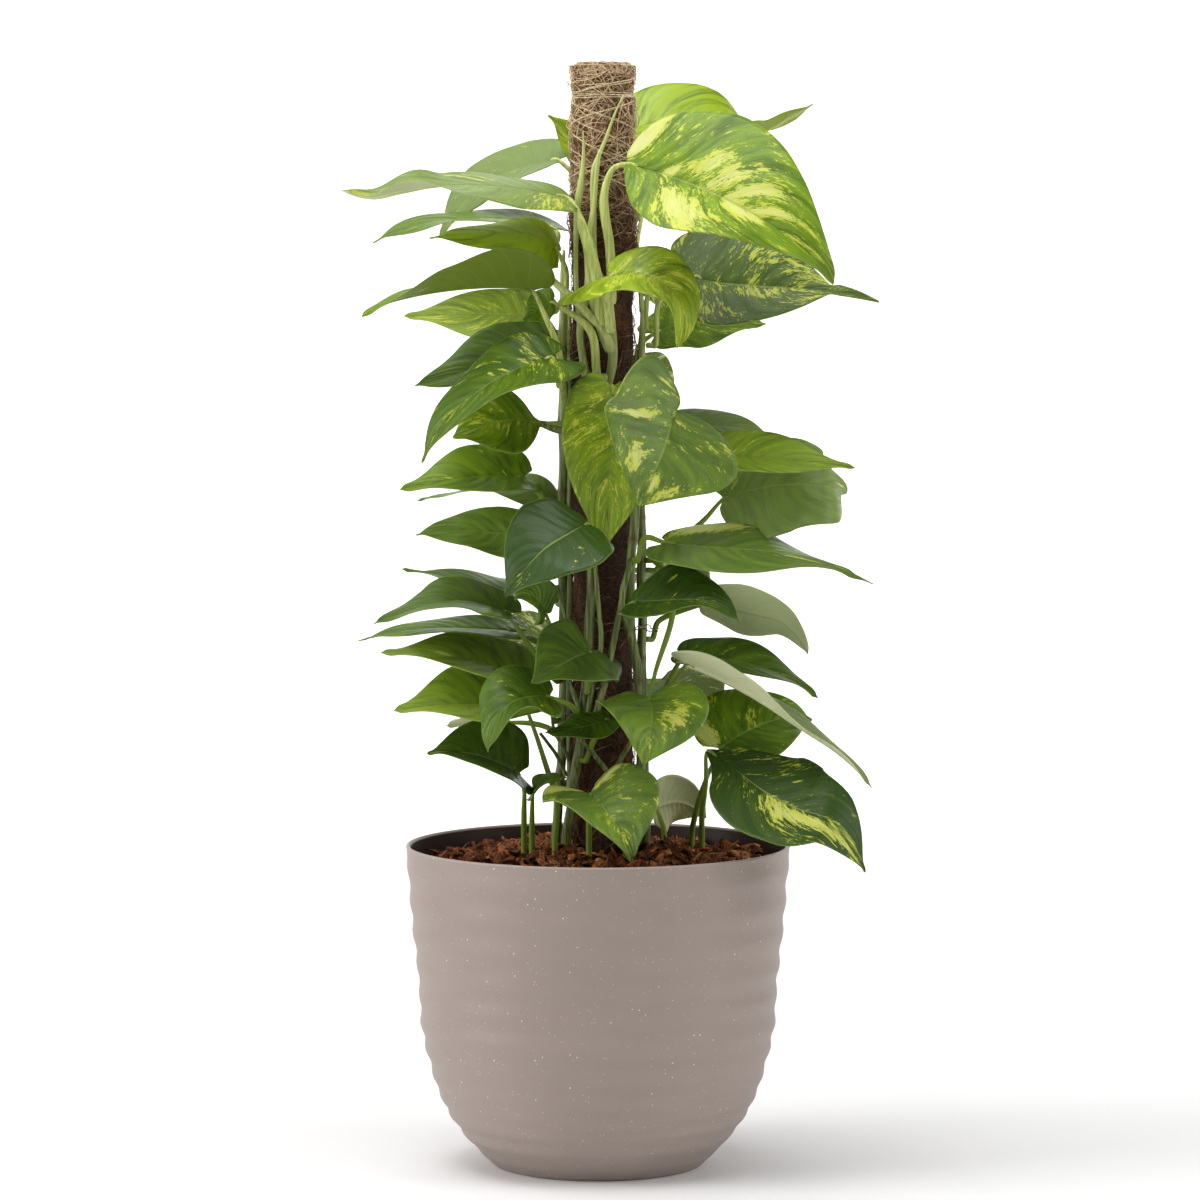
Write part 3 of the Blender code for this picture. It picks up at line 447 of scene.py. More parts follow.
def sleeve_lump(angle, z):
    """How far the sleeve's surface swells at this angle and height, with the pinch under its thread."""
    spot = (cos(angle) * 1.5, sin(angle) * 1.5, z * 55)
    soft = 0.0016 * noise.noise(spot) + 0.0010 * noise.noise([3 * c for c in spot])
    return soft - PINCH_DEPTH * exp(-((z - PINCH_HEIGHT) / PINCH_WIDTH) ** 2)


def on_sleeve(angle, z, lift):
    r = SLEEVE_RADIUS + sleeve_lump(angle, z) + lift
    return (POLE_X + r * cos(angle), r * sin(angle), z)


heights = np.linspace(POLE_TOP - 0.0022, SLEEVE_BOTTOM, 170)
mat_profile = [(r, POLE_TOP + 0.0012) for r in (0.0, 0.004, 0.008, 0.012)] + [(0.0155, POLE_TOP + 0.0004)]
mat_profile += [(SLEEVE_RADIUS - 0.0014, POLE_TOP - 0.0008)] + [(SLEEVE_RADIUS, z) for z in heights]
mat_profile += [(SLEEVE_BORE, SLEEVE_BOTTOM)] + [(r, POLE_TOP - SLEEVE_CAP) for r in (SLEEVE_BORE, 0.0)]
bm = turned(mat_profile, 72)
for vert in bm.verts:
    radius = (vert.co.x**2 + vert.co.y**2) ** 0.5
    if radius > SLEEVE_BORE + 0.001:
        angle = np.arctan2(vert.co.y, vert.co.x)
        fluff = FLUFF * noise.noise((cos(angle) * 14, sin(angle) * 14, vert.co.z * 700))
        swell = 1 + (sleeve_lump(angle, vert.co.z) + fluff) * (radius / SLEEVE_RADIUS) / radius
        vert.co.x *= swell
        vert.co.y *= swell
    elif vert.co.z > POLE_TOP - 0.001:
        vert.co.z -= 0.0018 + 0.0012 * noise.noise(vert.co * 400)
    vert.co.x += POLE_X


def coir_material(name, dark, light, middle_colour, scale):
    """Coir of two browns, which is darker and redder below the pole's paler top."""
    made, s = new_material(name)
    felt = s.noise(s.place((1, 1, 0.7)), scale, 5, 0.75, 1.5)
    pale_top = (s.height() + (s.noise(s.place(), 60, 2) - 0.5) * 0.06).step(PALE_TOP_FROM, PALE_TOP_TO)
    old = s.noise(s.place((1, 1, 0.45)), 48, 2).step(0.42, 0.66)
    below_top = felt.step(0.35, 0.7).mix(dark, old.mix(middle_colour, COIR_RUST))
    set_surface(made, pale_top.mix(below_top, felt.step(0.35, 0.65).mix(middle_colour, light)), 0.9, felt, distance=0.0012)
    return made


coir_felt = coir_material("coir_felt", COIR_DARK, COIR_RUST, COIR_BROWN, 420)
sleeve = add_piece("coir_mat", bm, coir_felt)
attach(sleeve, "root")
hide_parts("coir_sleeve")


def loose_strand(rng, low, high, length, lift, steps):
    """A curved fibre that lies on the sleeve, with its ends tucked in and its middle lifted."""
    z = rng.uniform(low, high)
    angle = rng.uniform(0, 2 * pi)
    way = rng.uniform(0, 2 * pi)
    bend = rng.normal(0, 1.5)
    stride = length / steps
    points = []
    for k in range(steps + 1):
        share = k / steps
        stand = -0.0003 + lift * sin(pi * share) ** 0.8
        points.append(on_sleeve(angle, float(np.clip(z, low, POLE_TOP - 0.0006)), stand))
        way += bend / steps
        angle += stride * cos(way) / SLEEVE_RADIUS
        z += stride * sin(way)
    return points


def rim_strand(rng):
    """A fibre that comes up the sleeve's side, arches over its edge and lies across its top."""
    angle, drift, reach = rng.uniform(0, 2 * pi), rng.normal(0, 0.8), rng.uniform(0.3, 1.1)
    stand = rng.uniform(0.0004, 0.0022)
    points = []
    for k in range(7):
        share = k / 6
        r = SLEEVE_RADIUS * (1 - reach * share**2) + 0.0005
        turn = angle + drift * share
        points.append((POLE_X + r * cos(turn), r * sin(turn),
                       POLE_TOP - 0.007 * (1 - share) ** 2 + stand * sin(pi * share) + 0.0006))
    return points


# Strands start above the bark. Each look: dark, light and middle colours, radius, length and lift.
SEEN_BOTTOM = 0.196
RIM_STRANDS = {"dark": 60, "tan": 170, "straw": 110}
STRAND_LOOKS = {
    "dark": (COIR_DARK, COIR_TAN, COIR_BROWN, 0.00020, 0.020, 0.0016),
    "tan": (COIR_BROWN, COIR_STRAW, COIR_RUST, 0.00017, 0.022, 0.0026),
    "straw": (COIR_BROWN, COIR_STRAW, COIR_TAN, 0.00026, 0.030, 0.0036),
}
for kind, (dark, light, middle_colour, thickness, length, lift) in STRAND_LOOKS.items():
    paths = []
    for _ in range(STRANDS[kind]):
        low = PALE_TOP_FROM - 0.01 if rng.random() < TOP_SHARE[kind] else SEEN_BOTTOM
        line = loose_strand(rng, low, POLE_TOP - 0.001, length * rng.uniform(0.6, 1.4),
                            lift * rng.uniform(0.2, 1.3), 6)
        paths.append((line, [thickness * 0.6] + [thickness] * 5 + [thickness * 0.4]))
    paths += [(rim_strand(rng), [thickness] * 7) for _ in range(RIM_STRANDS[kind])]
    fibre = strands("coir_strands_" + kind, paths, coir_material("coir_" + kind, dark, light, middle_colour, 90))
    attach(fibre, "root")

# Natural thread is wound round the sleeve near its top and criss-crosses down it, tied by hand, and a
# thin end of it stands up in a loop. It is pale, stiff and about half a millimetre thick.
THREAD = (0.56, 0.42, 0.22, 1)
THREAD_PALE = (0.90, 0.78, 0.52, 1)
THREAD_RADIUS = 0.00038
THREAD_LIFT = 0.0016
# Each wind: start angle in degrees from the front, turns, start and end height under the pole's top.
WINDS = [(-80, 1.02, 0.0175, 0.0200), (-100, 1.0, 0.0205, 0.0180), (-60, 1.05, 0.0190, 0.0214),
         (-95, 1.0, 0.0218, 0.0196), (-70, 0.9, 0.0186, 0.0225), (-85, 0.5, 0.0195, 0.0070),
         (60, -0.5, 0.0110, 0.0215), (-90, 0.45, 0.0215, 0.0420), (70, -0.45, 0.0230, 0.0400),
         (-75, 0.55, 0.0330, 0.0620), (80, -0.5, 0.0520, 0.0760), (-85, 0.6, 0.0600, 0.0900),
         (100, 0.6, 0.0300, 0.0580), (180, 0.7, 0.0220, 0.0700), (150, -0.8, 0.0560, 0.0900)]

thread_fibre, s = new_material("coir_thread")
ply = s.noise(s.place(), 700, 2)
set_surface(thread_fibre, ply.step(0.35, 0.65).mix(THREAD, THREAD_PALE), 0.8, ply, distance=0.0002)

paths = []
for start, turns, above, below in WINDS:
    line = []
    for share in np.linspace(0, 1, 40):
        angle = radians(start - 90) + 2 * pi * turns * share
        z = POLE_TOP - above - (below - above) * share
        line.append(on_sleeve(angle, z, THREAD_LIFT + 0.0006 * sin(pi * share)))
    paths.append((line, [THREAD_RADIUS] * 40))
loop = [on_sleeve(radians(-90 + 60 * cos(pi * k / 14)), POLE_TOP + 0.0032 * sin(pi * k / 14) - 0.001, -0.004)
        for k in range(15)]
paths.append((loop, [THREAD_RADIUS * 0.6] * 15))
thread = strands("wound_thread", paths, thread_fibre, 1)
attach(thread, "root")
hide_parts("pole_twine")

# The climbing stems are round, fleshy and jointed: pale to mid green, ringed with a brown scar at each
# joint. They stand in the soil and follow the pole up, and the front one carries two rolled young leaves.
SOIL_TOP = 0.190
ROOT_DEPTH = 0.016
# Low down the stems are painted this dark green as shade, and between the heights below they turn pale as
# painted light.
STEM_GREEN_IN_SHADE = (0.072, 0.112, 0.012, 1)
STEM_PALE = (0.620, 0.680, 0.220, 1)
STEM_SCAR = (0.120, 0.065, 0.025, 1)
SHADE_TO_LIGHT_HEIGHTS = (0.44, 0.56)
RING_SWELL = 0.0004
RING_LENGTH = 0.0022
WOBBLE = 0.0004
# The view that the photo was taken from, which turns a reading in it into a point.
EYE_DISTANCE = 3.087
EYE_HEIGHT = 0.583
EYE_TILT = radians(3.98)
FOCAL_PIXELS = 4770
AXIS_PIXEL = 598
MIDDLE_PIXEL = 600
# Feet of all that grows out of the soil: photo column and depth in millimetres.
FEET = {
    "vine_front": (566, -14), "vine_right_front": (632, -18), "vine_left": (556, 8), "vine_right": (646, 6),
    "vine_back_left": (588, 32), "vine_back_right": (622, 32), "leaf_22": (555, -24), "leaf_25": (524, -10),
    "leaf_25b": (532, -18), "leaf_26": (589, -45), "leaf_27": (664, 48), "leaf_41": (692, 20),
    "leaf_42": (702, 8), "leaf_57": (600, 62),
}
# Readings along each stem: photo column, row, and depth in millimetres behind the pot's axis.
STEMS = {
    "vine_front": [(574, 785, -18), (580, 745, -22), (586, 690, -25), (591, 600, -26), (592, 500, -27),
                   (600, 420, -28), (612, 360, -30), (609, 304, -29), (597, 270, -29), (593, 230, -28),
                   (594, 170, -27), (598, 157, -27), (605, 139, -27), (614, 117, -27), (624, 95, -27)],
    "vine_right_front": [(640, 780, -20), (640, 700, -22), (630, 610, -25), (634, 520, -25),
                         (638, 450, -24), (638, 400, -23)],
    "vine_left": [(560, 780, 6), (563, 700, 4), (563, 600, 2), (563, 500, 2), (563, 400, 2), (563, 300, 2),
                  (564, 250, 2)],
    "vine_right": [(644, 780, 6), (642, 700, 6), (642, 600, 5), (641, 500, 4), (641, 400, 2),
                   (642, 330, 0), (641, 300, 0)],
    "vine_back_left": [(587, 760, 30), (586, 700, 28), (588, 600, 27), (588, 400, 27), (590, 250, 27),
                       (590, 190, 27)],
    "vine_back_right": [(622, 760, 30), (622, 700, 28), (620, 600, 27), (620, 400, 27), (620, 250, 27),
                        (620, 195, 27)],
}
STEM_RADII = {"vine_front": [4.0, 4.0, 4.0, 4.0, 4.0, 3.6, 3.1, 2.9, 2.2, 1.5, 0.4]}
YOUNG_LEAF_ROW = 430
YOUNG_LEAF = [(590, 385, -25), (581, 340, -22), (576, 280, -22), (577, 214, -24), (583, 166, -25),
              (583, 131, -25)]
YOUNG_LEAF_RADII = [1.6, 1.6, 1.5, 1.5, 2.4, 0.3]
JOINT_SPACING = 0.046
# Leaf stalks that run along the stems: readings, then the radius at both ends in millimetres.
ALONG_STEMS = {
    "vine_front": [
        ([(584, 730, -28), (592, 690, -31), (601, 646, -34), (598, 600, -33), (594, 555, -31)], 1.9, 1.4),
        ([(588, 735, -28), (603, 690, -31), (613, 645, -32), (622, 600, -31), (630, 560, -28)], 2.4, 1.8),
        ([(606, 770, -30), (592, 752, -33), (575, 733, -36), (563, 722, -38)], 1.7, 1.2),
        ([(584, 726, -27), (578, 705, -28), (570, 685, -30), (564, 668, -31), (560, 655, -30)], 1.8, 1.4),
        ([(597, 440, -31), (590, 400, -33), (583, 360, -33), (580, 330, -32), (586, 300, -31),
          (588, 262, -30), (580, 226, -30)], 2.6, 2.0),
        ([(610, 350, -31), (598, 320, -33), (590, 285, -34), (588, 245, -34), (594, 205, -33),
          (597, 170, -33), (600, 150, -33)], 3.4, 1.2),
        ([(612, 352, -33), (603, 330, -35), (590, 316, -36), (577, 302, -36), (563, 290, -35),
          (548, 276, -33)], 3.2, 2.2),
        ([(575, 428, -28), (558, 428, -31), (546, 425, -34), (538, 423, -37)], 5.0, 1.9),
    ],
    "vine_left": [
        ([(570, 800, 0), (570, 740, -2), (569, 660, -4), (570, 580, -4), (570, 500, -3), (571, 420, -2),
          (570, 340, 0), (568, 290, 2)], 2.4, 1.5),
        ([(566, 776, -8), (557, 756, -10), (547, 742, -12), (540, 733, -13)], 1.4, 1.1),
        ([(569, 760, -6), (562, 745, -8), (555, 733, -9), (552, 716, -9)], 1.3, 1.0),
        ([(572, 668, -10), (569, 640, -12), (564, 612, -14), (557, 585, -14)], 1.3, 1.0),
    ],
    "vine_right": [
        ([(642, 312, 0), (640, 282, 4), (637, 250, 12), (642, 215, 26), (648, 180, 44),
          (650, 152, 55)], 1.8, 1.0),
        ([(646, 330, 4), (647, 300, 2), (652, 286, -2), (664, 280, -8)], 2.0, 1.5),
    ],
    "vine_right_front": [
        ([(612, 778, -26), (622, 757, -28), (632, 740, -26), (640, 722, -22)], 1.8, 1.4),
        ([(636, 560, -26), (627, 575, -29), (622, 600, -29), (632, 640, -25)], 1.9, 1.9),
    ],
}


def at(reading):
    """A reading in the photo (across, down, and millimetres behind the pot's axis) as a point."""
    across, down, depth = reading
    right = (across - AXIS_PIXEL) / FOCAL_PIXELS
    up = (MIDDLE_PIXEL - down) / FOCAL_PIXELS
    reach = (EYE_DISTANCE + depth / 1000) / (cos(EYE_TILT) + up * sin(EYE_TILT))
    height = EYE_HEIGHT + reach * (up * cos(EYE_TILT) - sin(EYE_TILT))
    return np.array([right * reach, depth / 1000, height])


def foot_points(name):
    x, y, _ = at((FEET[name][0], 830, FEET[name][1]))
    return [np.array([x, y, z]) for z in (SOIL_TOP - ROOT_DEPTH, SOIL_TOP, SOIL_TOP + 0.022)]


def stem_points(name):
    return foot_points(name) + [at(p) for p in STEMS[name]]


def stem_radii(name):
    return [r / 1000 for r in STEM_RADII.get(name, [4.0, 3.9, 3.8])]


def stem_at(name, down):
    """The point on a stem that shows at this photo row, and the stem's radius there."""
    curve, _ = smooth_path(stem_points(name))
    share = np.linspace(0, 1, 600)
    track, _ = curve(share)
    depth = EYE_DISTANCE + track[:, 1]
    rise = (track[:, 2] - EYE_HEIGHT) * cos(EYE_TILT) + depth * sin(EYE_TILT)
    ahead = depth * cos(EYE_TILT) - (track[:, 2] - EYE_HEIGHT) * sin(EYE_TILT)
    nearest = np.argmin(abs(MIDDLE_PIXEL - FOCAL_PIXELS * rise / ahead - down))
    radii = stem_radii(name)
    return track[nearest], np.interp(share[nearest], np.linspace(0, 1, len(radii)), radii)


stem_skin, s = new_material("green_stem")
stripe = s.noise(s.place((1, 1, 0.04)), 520, 3, 0.6)
mottle = s.noise(s.place((1, 1, 0.6)), 95, 3, 0.6)
scar = s.painted("scar")
up = s.height()
# Painted light and shade: low down the stems are painted dark green as the shade under the leaves, and pale
# higher up as painted light, over pale stripes of their own. Brown mottles lie only on the lower part.
pale = (up.step(0.46, 0.58) * 0.75 + stripe.step(0.35, 0.7) * 0.45 - 0.05).greater(0.0)
skin = pale.mix(STEM_GREEN_IN_SHADE, STEM_PALE)
skin = (scar * 0.8 + mottle.step(0.60, 0.72) * 0.5 * (1 - up.step(*SHADE_TO_LIGHT_HEIGHTS))).mix(skin, STEM_SCAR)
set_surface(stem_skin, skin, 0.42, stripe + scar * 2, distance=0.0003, Coat_Weight=0.08)

for order, name in enumerate(STEMS):
    curve, length = smooth_path(stem_points(name))
    share = np.linspace(0, 1, 150)
    track, _ = curve(share)
    radii = np.interp(share, np.linspace(0, 1, len(stem_radii(name))), stem_radii(name))
    joint = np.abs((share * length / JOINT_SPACING + 0.37 * order) % 1 - 0.5) * JOINT_SPACING
    ring = np.exp(-((joint / RING_LENGTH) ** 2)) * (share < (0.62 if name == "vine_front" else 0.93))
    if name == "vine_front":
        radii = radii * np.interp(share, [0, 0.55, 0.70, 1], [0.80, 0.80, 1.08, 1.08])
    else:
        radii = radii * 0.78 * (1 - 0.7 * np.clip((share - 0.88) / 0.12, 0, 1) ** 1.5)
    radii += RING_SWELL * ring
    wobble = np.stack([np.sin(share * length * 130 + order), np.cos(share * length * 101 + 2 * order)], 1)
    track[:, :2] += wobble * WOBBLE * np.clip((share * length - 0.04) / 0.02, 0, 1)[:, None]
    paths = [(track, radii)]
    for readings, thick, thin in ALONG_STEMS.get(name, []):
        line, _ = smooth_path([at(p) for p in readings])[0](np.linspace(0, 1, 50))
        paths.append((line, np.linspace(thick, thin, 50) / 1000))
    if name == "vine_front":
        young, _ = smooth_path([stem_at(name, YOUNG_LEAF_ROW)[0]] + [at(p) for p in YOUNG_LEAF])
        line, _ = young(np.linspace(0, 1, 60))
        spread = np.linspace(0, 1, len(YOUNG_LEAF_RADII))
        paths.append((line, np.interp(np.linspace(0, 1, 60), spread, YOUNG_LEAF_RADII) / 1000))
    stem = strands("stem_" + name[5:], paths, stem_skin, 4)
    places = np.array([vert.co for vert in stem.data.vertices])
    marks = np.interp(places[:, 2], track[:, 2], ring)
    for axis in (0, 1):
        marks *= np.abs(places[:, axis] - np.interp(places[:, 2], track[:, 2], track[:, axis])) < 0.0045
    set_attribute(stem.data, "scar", "FLOAT", marks)
    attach(stem, "root")
    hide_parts(name)

# Thin wire ties hold the stems to the pole: each is bent round by hand and twisted shut, with its two
# short ends left standing off the stem.
WIRE = (0.300, 0.300, 0.290, 1)
WIRE_DARK = (0.030, 0.032, 0.030, 1)
WIRE_RADIUS = 0.0004
TIE_REACH = 0.0052
# Each tie: the middle of its loop in the photo, and the way its ends point, in degrees.
TIES = [((580, 716, -27), 200), ((601, 684, -31), 150), ((643, 628, -26), 20), ((597, 545, -29), 170),
        ((563, 590, 0), 215), ((640, 735, 2), -20), ((597, 446, -30), 160)]

tie_wire, s = new_material("tie_wire")
# The wire is black with grey patches from a noise pattern.
grey_patches = s.noise(s.place(), 400, 3)
set_surface(tie_wire, grey_patches.step(0.4, 0.6).mix(WIRE_DARK, WIRE), 0.38, Metallic=0.85)
paths = []
for number, (reading, way) in enumerate(TIES):
    middle, way = at(reading), radians(way)
    for end in (-1, 1):
        line = []
        for share in np.linspace(0, 1, 26):
            turn = way + end * pi * min(share / 0.72, 1)
            out = TIE_REACH * (1 + 1.1 * max(share - 0.72, 0) / 0.28)
            lift = 0.0016 * cos(turn * 2 + number) + end * 0.0008
            line.append(middle + (out * cos(turn + pi), out * sin(turn + pi) * 0.9, lift))
        paths.append((line, [WIRE_RADIUS] * 26))
ties = strands("wire_ties", paths, tie_wire, 1)
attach(ties, "root")

# Each leaf is one leathery blade on a round stalk: glossy above, dull and paler below, with a pale
# midrib, arching side veins and yellow to cream streaks that follow them. It grows from a stem or soil.
STALK_RADIUS = 0.0019
STALK_END_RADIUS = 0.0010
BLADE_THICKNESS = 0.0006
VEINS = 11
VEIN_LEAN = 0.26
FIELD_RELIEF = 0.00034
RIB_GROOVE = 0.0006
RIB_RIDGE = 0.0010
STALK_SINK = 0.0005
# Half outlines of a blade: how far along the rib, and how far out, both from 0 to 1.
HEART = [(-0.115, 0.30), (-0.10, 0.62), (0.0, 0.88), (0.14, 0.99), (0.30, 1.0), (0.48, 0.86),
         (0.65, 0.61), (0.79, 0.36), (0.90, 0.17), (0.965, 0.07), (1.0, 0.016)]
OVATE = [(0.0, 0.10), (0.03, 0.34), (0.09, 0.62), (0.19, 0.86), (0.32, 1.0), (0.48, 0.92),
         (0.65, 0.68), (0.79, 0.41), (0.90, 0.19), (0.965, 0.08), (1.0, 0.016)]
WEDGE = [(0.0, 0.03), (0.05, 0.16), (0.13, 0.42), (0.24, 0.74), (0.38, 0.97), (0.52, 1.0),
         (0.67, 0.78), (0.80, 0.46), (0.90, 0.21), (0.965, 0.08), (1.0, 0.016)]
GREEN_DARK = (0.026, 0.066, 0.003, 1)
GREEN_MID = (0.140, 0.255, 0.009, 1)
GREEN_LIME = (0.360, 0.490, 0.016, 1)
# Grey-green of a painted sheen, a painted reflection of the bright surroundings.
SHEEN_GREY_GREEN = (0.240, 0.310, 0.115, 1)
YELLOW = (0.640, 0.680, 0.080, 1)
CREAM = (0.780, 0.780, 0.340, 1)
UNDER_OLIVE = (0.105, 0.160, 0.010, 1)
UNDER_LIME = (0.300, 0.400, 0.045, 1)
UNDER_PALE = (0.740, 0.770, 0.470, 1)
STALK_GREEN = (0.190, 0.280, 0.030, 1)
STALK_PALE = (0.700, 0.760, 0.250, 1)
RIB_GREEN = (0.330, 0.430, 0.090, 1)


def outline_at(points, t):
    place, _ = smooth_path(points)
    spread = np.linspace(0, 1, len(points))
    knots = np.concatenate([[0], np.cumsum(np.linalg.norm(np.diff(points, axis=0), axis=1))])
    track, _ = place(np.interp(t, spread, knots / knots[-1]))
    return track[:, 0], track[:, 1]


def margin(t, lobe, tail):
    """One side's outline: lobe 1 is heart-shaped, 0 rounded, -1 a wedge; tail is a thin tip's share."""
    body = np.minimum(t / 0.86, 1) if tail else t
    along, out = outline_at(OVATE, body)
    other_along, other_out = outline_at(HEART if lobe > 0 else WEDGE, body)
    share = min(abs(lobe), 1)
    along = other_along * share + along * (1 - share)
    out = other_out * share + out * (1 - share)
    if lobe > 2.5:
        start = np.clip(1 - body / 0.06, 0, 1)
        out = out - 0.05 * (lobe - 1) * start
        along = along * (1 - 0.3 * start**2)
    along = np.where(along < 0, along * max(lobe, 1), along)
    if tail:
        tip = np.clip((t - 0.86) / 0.14, 0, 1)
        along = along * (1 - tail) + tip * tail
        out = np.maximum(out, 0.09 * (1 - tip) + 0.016)
    return along, out


def blend(values, f):
    """Values spread evenly from the stalk to the tip, eased from one to the next."""
    values = np.atleast_1d(np.asarray(values, float))
    if len(values) == 1:
        return np.full(np.shape(f), values[0])
    x = np.clip(f, 0, 1) * (len(values) - 1)
    i = np.clip(x.astype(int), 0, len(values) - 2)
    step = x - i
    step = step * step * (3 - 2 * step)
    return values[i] * (1 - step) + values[i + 1] * step


def blade_points(made, t, v, relief):
    """Points of a blade's middle surface: t runs from stalk to tip, v from -1 to 1 across.

    Roll turns the blade about its rib, from a face towards the viewer. Fold lifts both halves like a
    book, in degrees, and curl bends their edges down again. Relief lifts each point off the surface.
    """
    curve, _ = smooth_path([at(p) for p in made["rib"]])
    lobe = made["lobe"]
    lobes = lobe if isinstance(lobe, tuple) else (lobe, lobe)
    sides = [margin(t, value, made["tail"]) for value in lobes]
    along = np.where(v < 0, sides[0][0], sides[1][0])
    out = np.where(v < 0, sides[0][1], sides[1][1])
    q = np.abs(v)
    place = t + (along - t) * q**1.3
    full = np.clip(np.where(v < 0, lobes[0], lobes[1]) - 2.5, 0, 1) * np.clip(1 - t / 0.05, 0, 1)
    reach = (out * q - 0.13 * full * np.sin(pi * q)) * made["width"] / 2000
    middle, way = curve(place)
    face = np.array([0, -1.0, 0]) + way[:, 1:2] * way
    face /= np.linalg.norm(face, axis=1, keepdims=True)
    across = np.cross(way, face)
    turn = np.radians(blend(made["roll"], place))[:, None]
    normal = np.cos(turn) * face + np.sin(turn) * across
    side = np.cos(turn) * across - np.sin(turn) * face
    lift = np.radians(blend(made["fold"], place))
    bend = radians(made["curl"]) * q + 1e-6
    flat = (np.sin(lift) - np.sin(lift - bend)) / bend
    rise = (np.cos(lift - bend) - np.cos(lift)) / bend
    return middle + (reach * flat * np.sign(v))[:, None] * side + (reach * rise + relief)[:, None] * normal


LEAVES = {}


def leaf(name, rib, width, roll, fold, stem, row, stalk, curl=0, lobe=0.8, tail=0,
         tone=0.4, cream=0.0, sheen_and_pale_under=0.0, patches=(), waves=0.0012, stalk_width=1.0):
    """Files one leaf: rib and stalk readings, blade width, and the stem and row its stalk leaves from.

    Tone runs from dark to lime green, cream is how much of it is streaked, and the sheen value how far a
    painted sheen greys it, a painted reflection of the bright surroundings: grey-green above, and pale below,
    where the underside is paler of its own as well. Each patch is a place along and across the blade, its
    half lengths, and how much cream it adds.
    Stalk width is for a stalk that is thicker than the others.
    """
    LEAVES[name] = dict(rib=rib, width=width, roll=roll, fold=fold, stem=stem, row=row, stalk=stalk,
                        curl=curl, lobe=lobe, tail=tail, tone=tone, cream=cream, sheen_and_pale_under=sheen_and_pale_under,
                        patches=patches, waves=waves, stalk_width=stalk_width)


leaf("leaf_01", [(600, 152, 46), (655, 122, 58), (710, 121, 66), (760, 131, 68), (790, 119, 66),
                 (813, 104, 62)], 72, (-58, -58, -58, -100, -120), 12,
     "vine_back_right", 225, [(606, 190, 36)], lobe=-0.2, tone=0.86, cream=-0.10,
     patches=[(0.9, 0, 0.2, 1.5, 0.40)])
leaf("leaf_02", [(627, 164, -34), (700, 188, -60), (764, 221, -78), (808, 253, -85), (833, 284, -80)], 116,
     (-36, -38, -43, -43), (21, 21, 28, 32), "vine_front", 300,
     [(610, 250, -33), (604, 200, -34), (612, 170, -35)], curl=12, lobe=(0.2, -0.6),
     stalk_width=1.7, tone=0.54, cream=-0.06,
     patches=[(0.05, -0.78, 0.12, 0.32, 0.5), (0.36, -0.36, 0.035, 0.25, 0.3), (0.20, -0.10, 0.03, 0.15, 0.3),
              (0.42, -0.25, 0.035, 0.35, 0.3), (0.53, -0.30, 0.035, 0.4, 0.3), (0.64, -0.26, 0.04, 0.4, 0.26),
              (0.80, -0.20, 0.05, 0.30, 0.18), (0.38, 0.55, 0.12, 0.42, 0.30), (0.55, 0.15, 0.06, 0.2, 0.3)])
leaf("leaf_03", [(590, 172, 44), (572, 140, 42), (548, 115, 36)], 26, 30, 10, "vine_back_left", 215,
     [(592, 192, 38)], lobe=0.4, tone=0.95, cream=0.0)
leaf("leaf_05", [(558, 160, 35), (520, 168, 50), (476, 189, 60), (440, 236, 62)], 64, (70, 61, 45), 5,
     "vine_back_left", 210, [(575, 178, 30)], lobe=0.5, tone=0.3, cream=-0.11, sheen_and_pale_under=0.75,
     patches=[(0.9, 0, 0.2, 1, 0.14)])
leaf("leaf_06", [(567, 198, -28), (505, 187, -48), (440, 186, -62), (402, 193, -64), (372, 199, -62),
                 (341, 190, -60)], 70, (70, 73, 76, 76, 74), (-4, -4, 0, 32, 40), "vine_front", 324,
     [(596, 275, -37), (582, 225, -35), (573, 204, -31)], lobe=0.3, stalk_width=2.0,
     tone=0.5, cream=-0.07, sheen_and_pale_under=0.55,
     patches=[(0.15, -0.6, 0.16, 0.4, 0.17), (0.42, 0.6, 0.10, 0.3, 0.12), (0.80, 0, 0.18, 1.5, 0.26)])
leaf("leaf_07", [(552, 228, 8), (500, 219, 24), (430, 222, 32), (373, 243, 30)], 58, (84, 80, 62), 4,
     "vine_left", 265, [(558, 236, 2)], lobe=0.5, tone=0.34, cream=-0.08, sheen_and_pale_under=0.2)
leaf("leaf_08", [(558, 252, -18), (536, 236, -32), (490, 233, -42), (429, 238, -50)], 48, (58, 62, 62), -8,
     "vine_left", 300, [(566, 272, -10)], lobe=0.4, tone=0.97, cream=-0.20)
leaf("leaf_09", [(533, 291, -42), (500, 286, -48), (440, 291, -54), (385, 304, -58), (362, 317, -58)], 66,
     (118, 104, 62), (25, 18, 6), "vine_left", 396, [(563, 380, -26), (557, 345, -38), (545, 316, -43)],
     lobe=0.7, stalk_width=1.15, tone=0.55, cream=-0.16,
     patches=[(0.85, 0, 0.25, 1, 0.20)])
leaf("leaf_10", [(545, 318, 8), (480, 314, 20), (404, 316, 24)], 52, 50, 2, "vine_left", 350,
     [(554, 333, 4)], lobe=0.6, tone=0.94, cream=-0.02, sheen_and_pale_under=0.35,
     patches=[(0.5, -0.5, 0.4, 0.4, 0.08)])
leaf("leaf_11", [(550, 345, -12), (505, 358, -20), (460, 373, -30), (415, 386, -34)], 54, 46, 10,
     "vine_left", 385, [(558, 362, -8)], lobe=0.7, tone=0.22, cream=-0.16, sheen_and_pale_under=0.12)
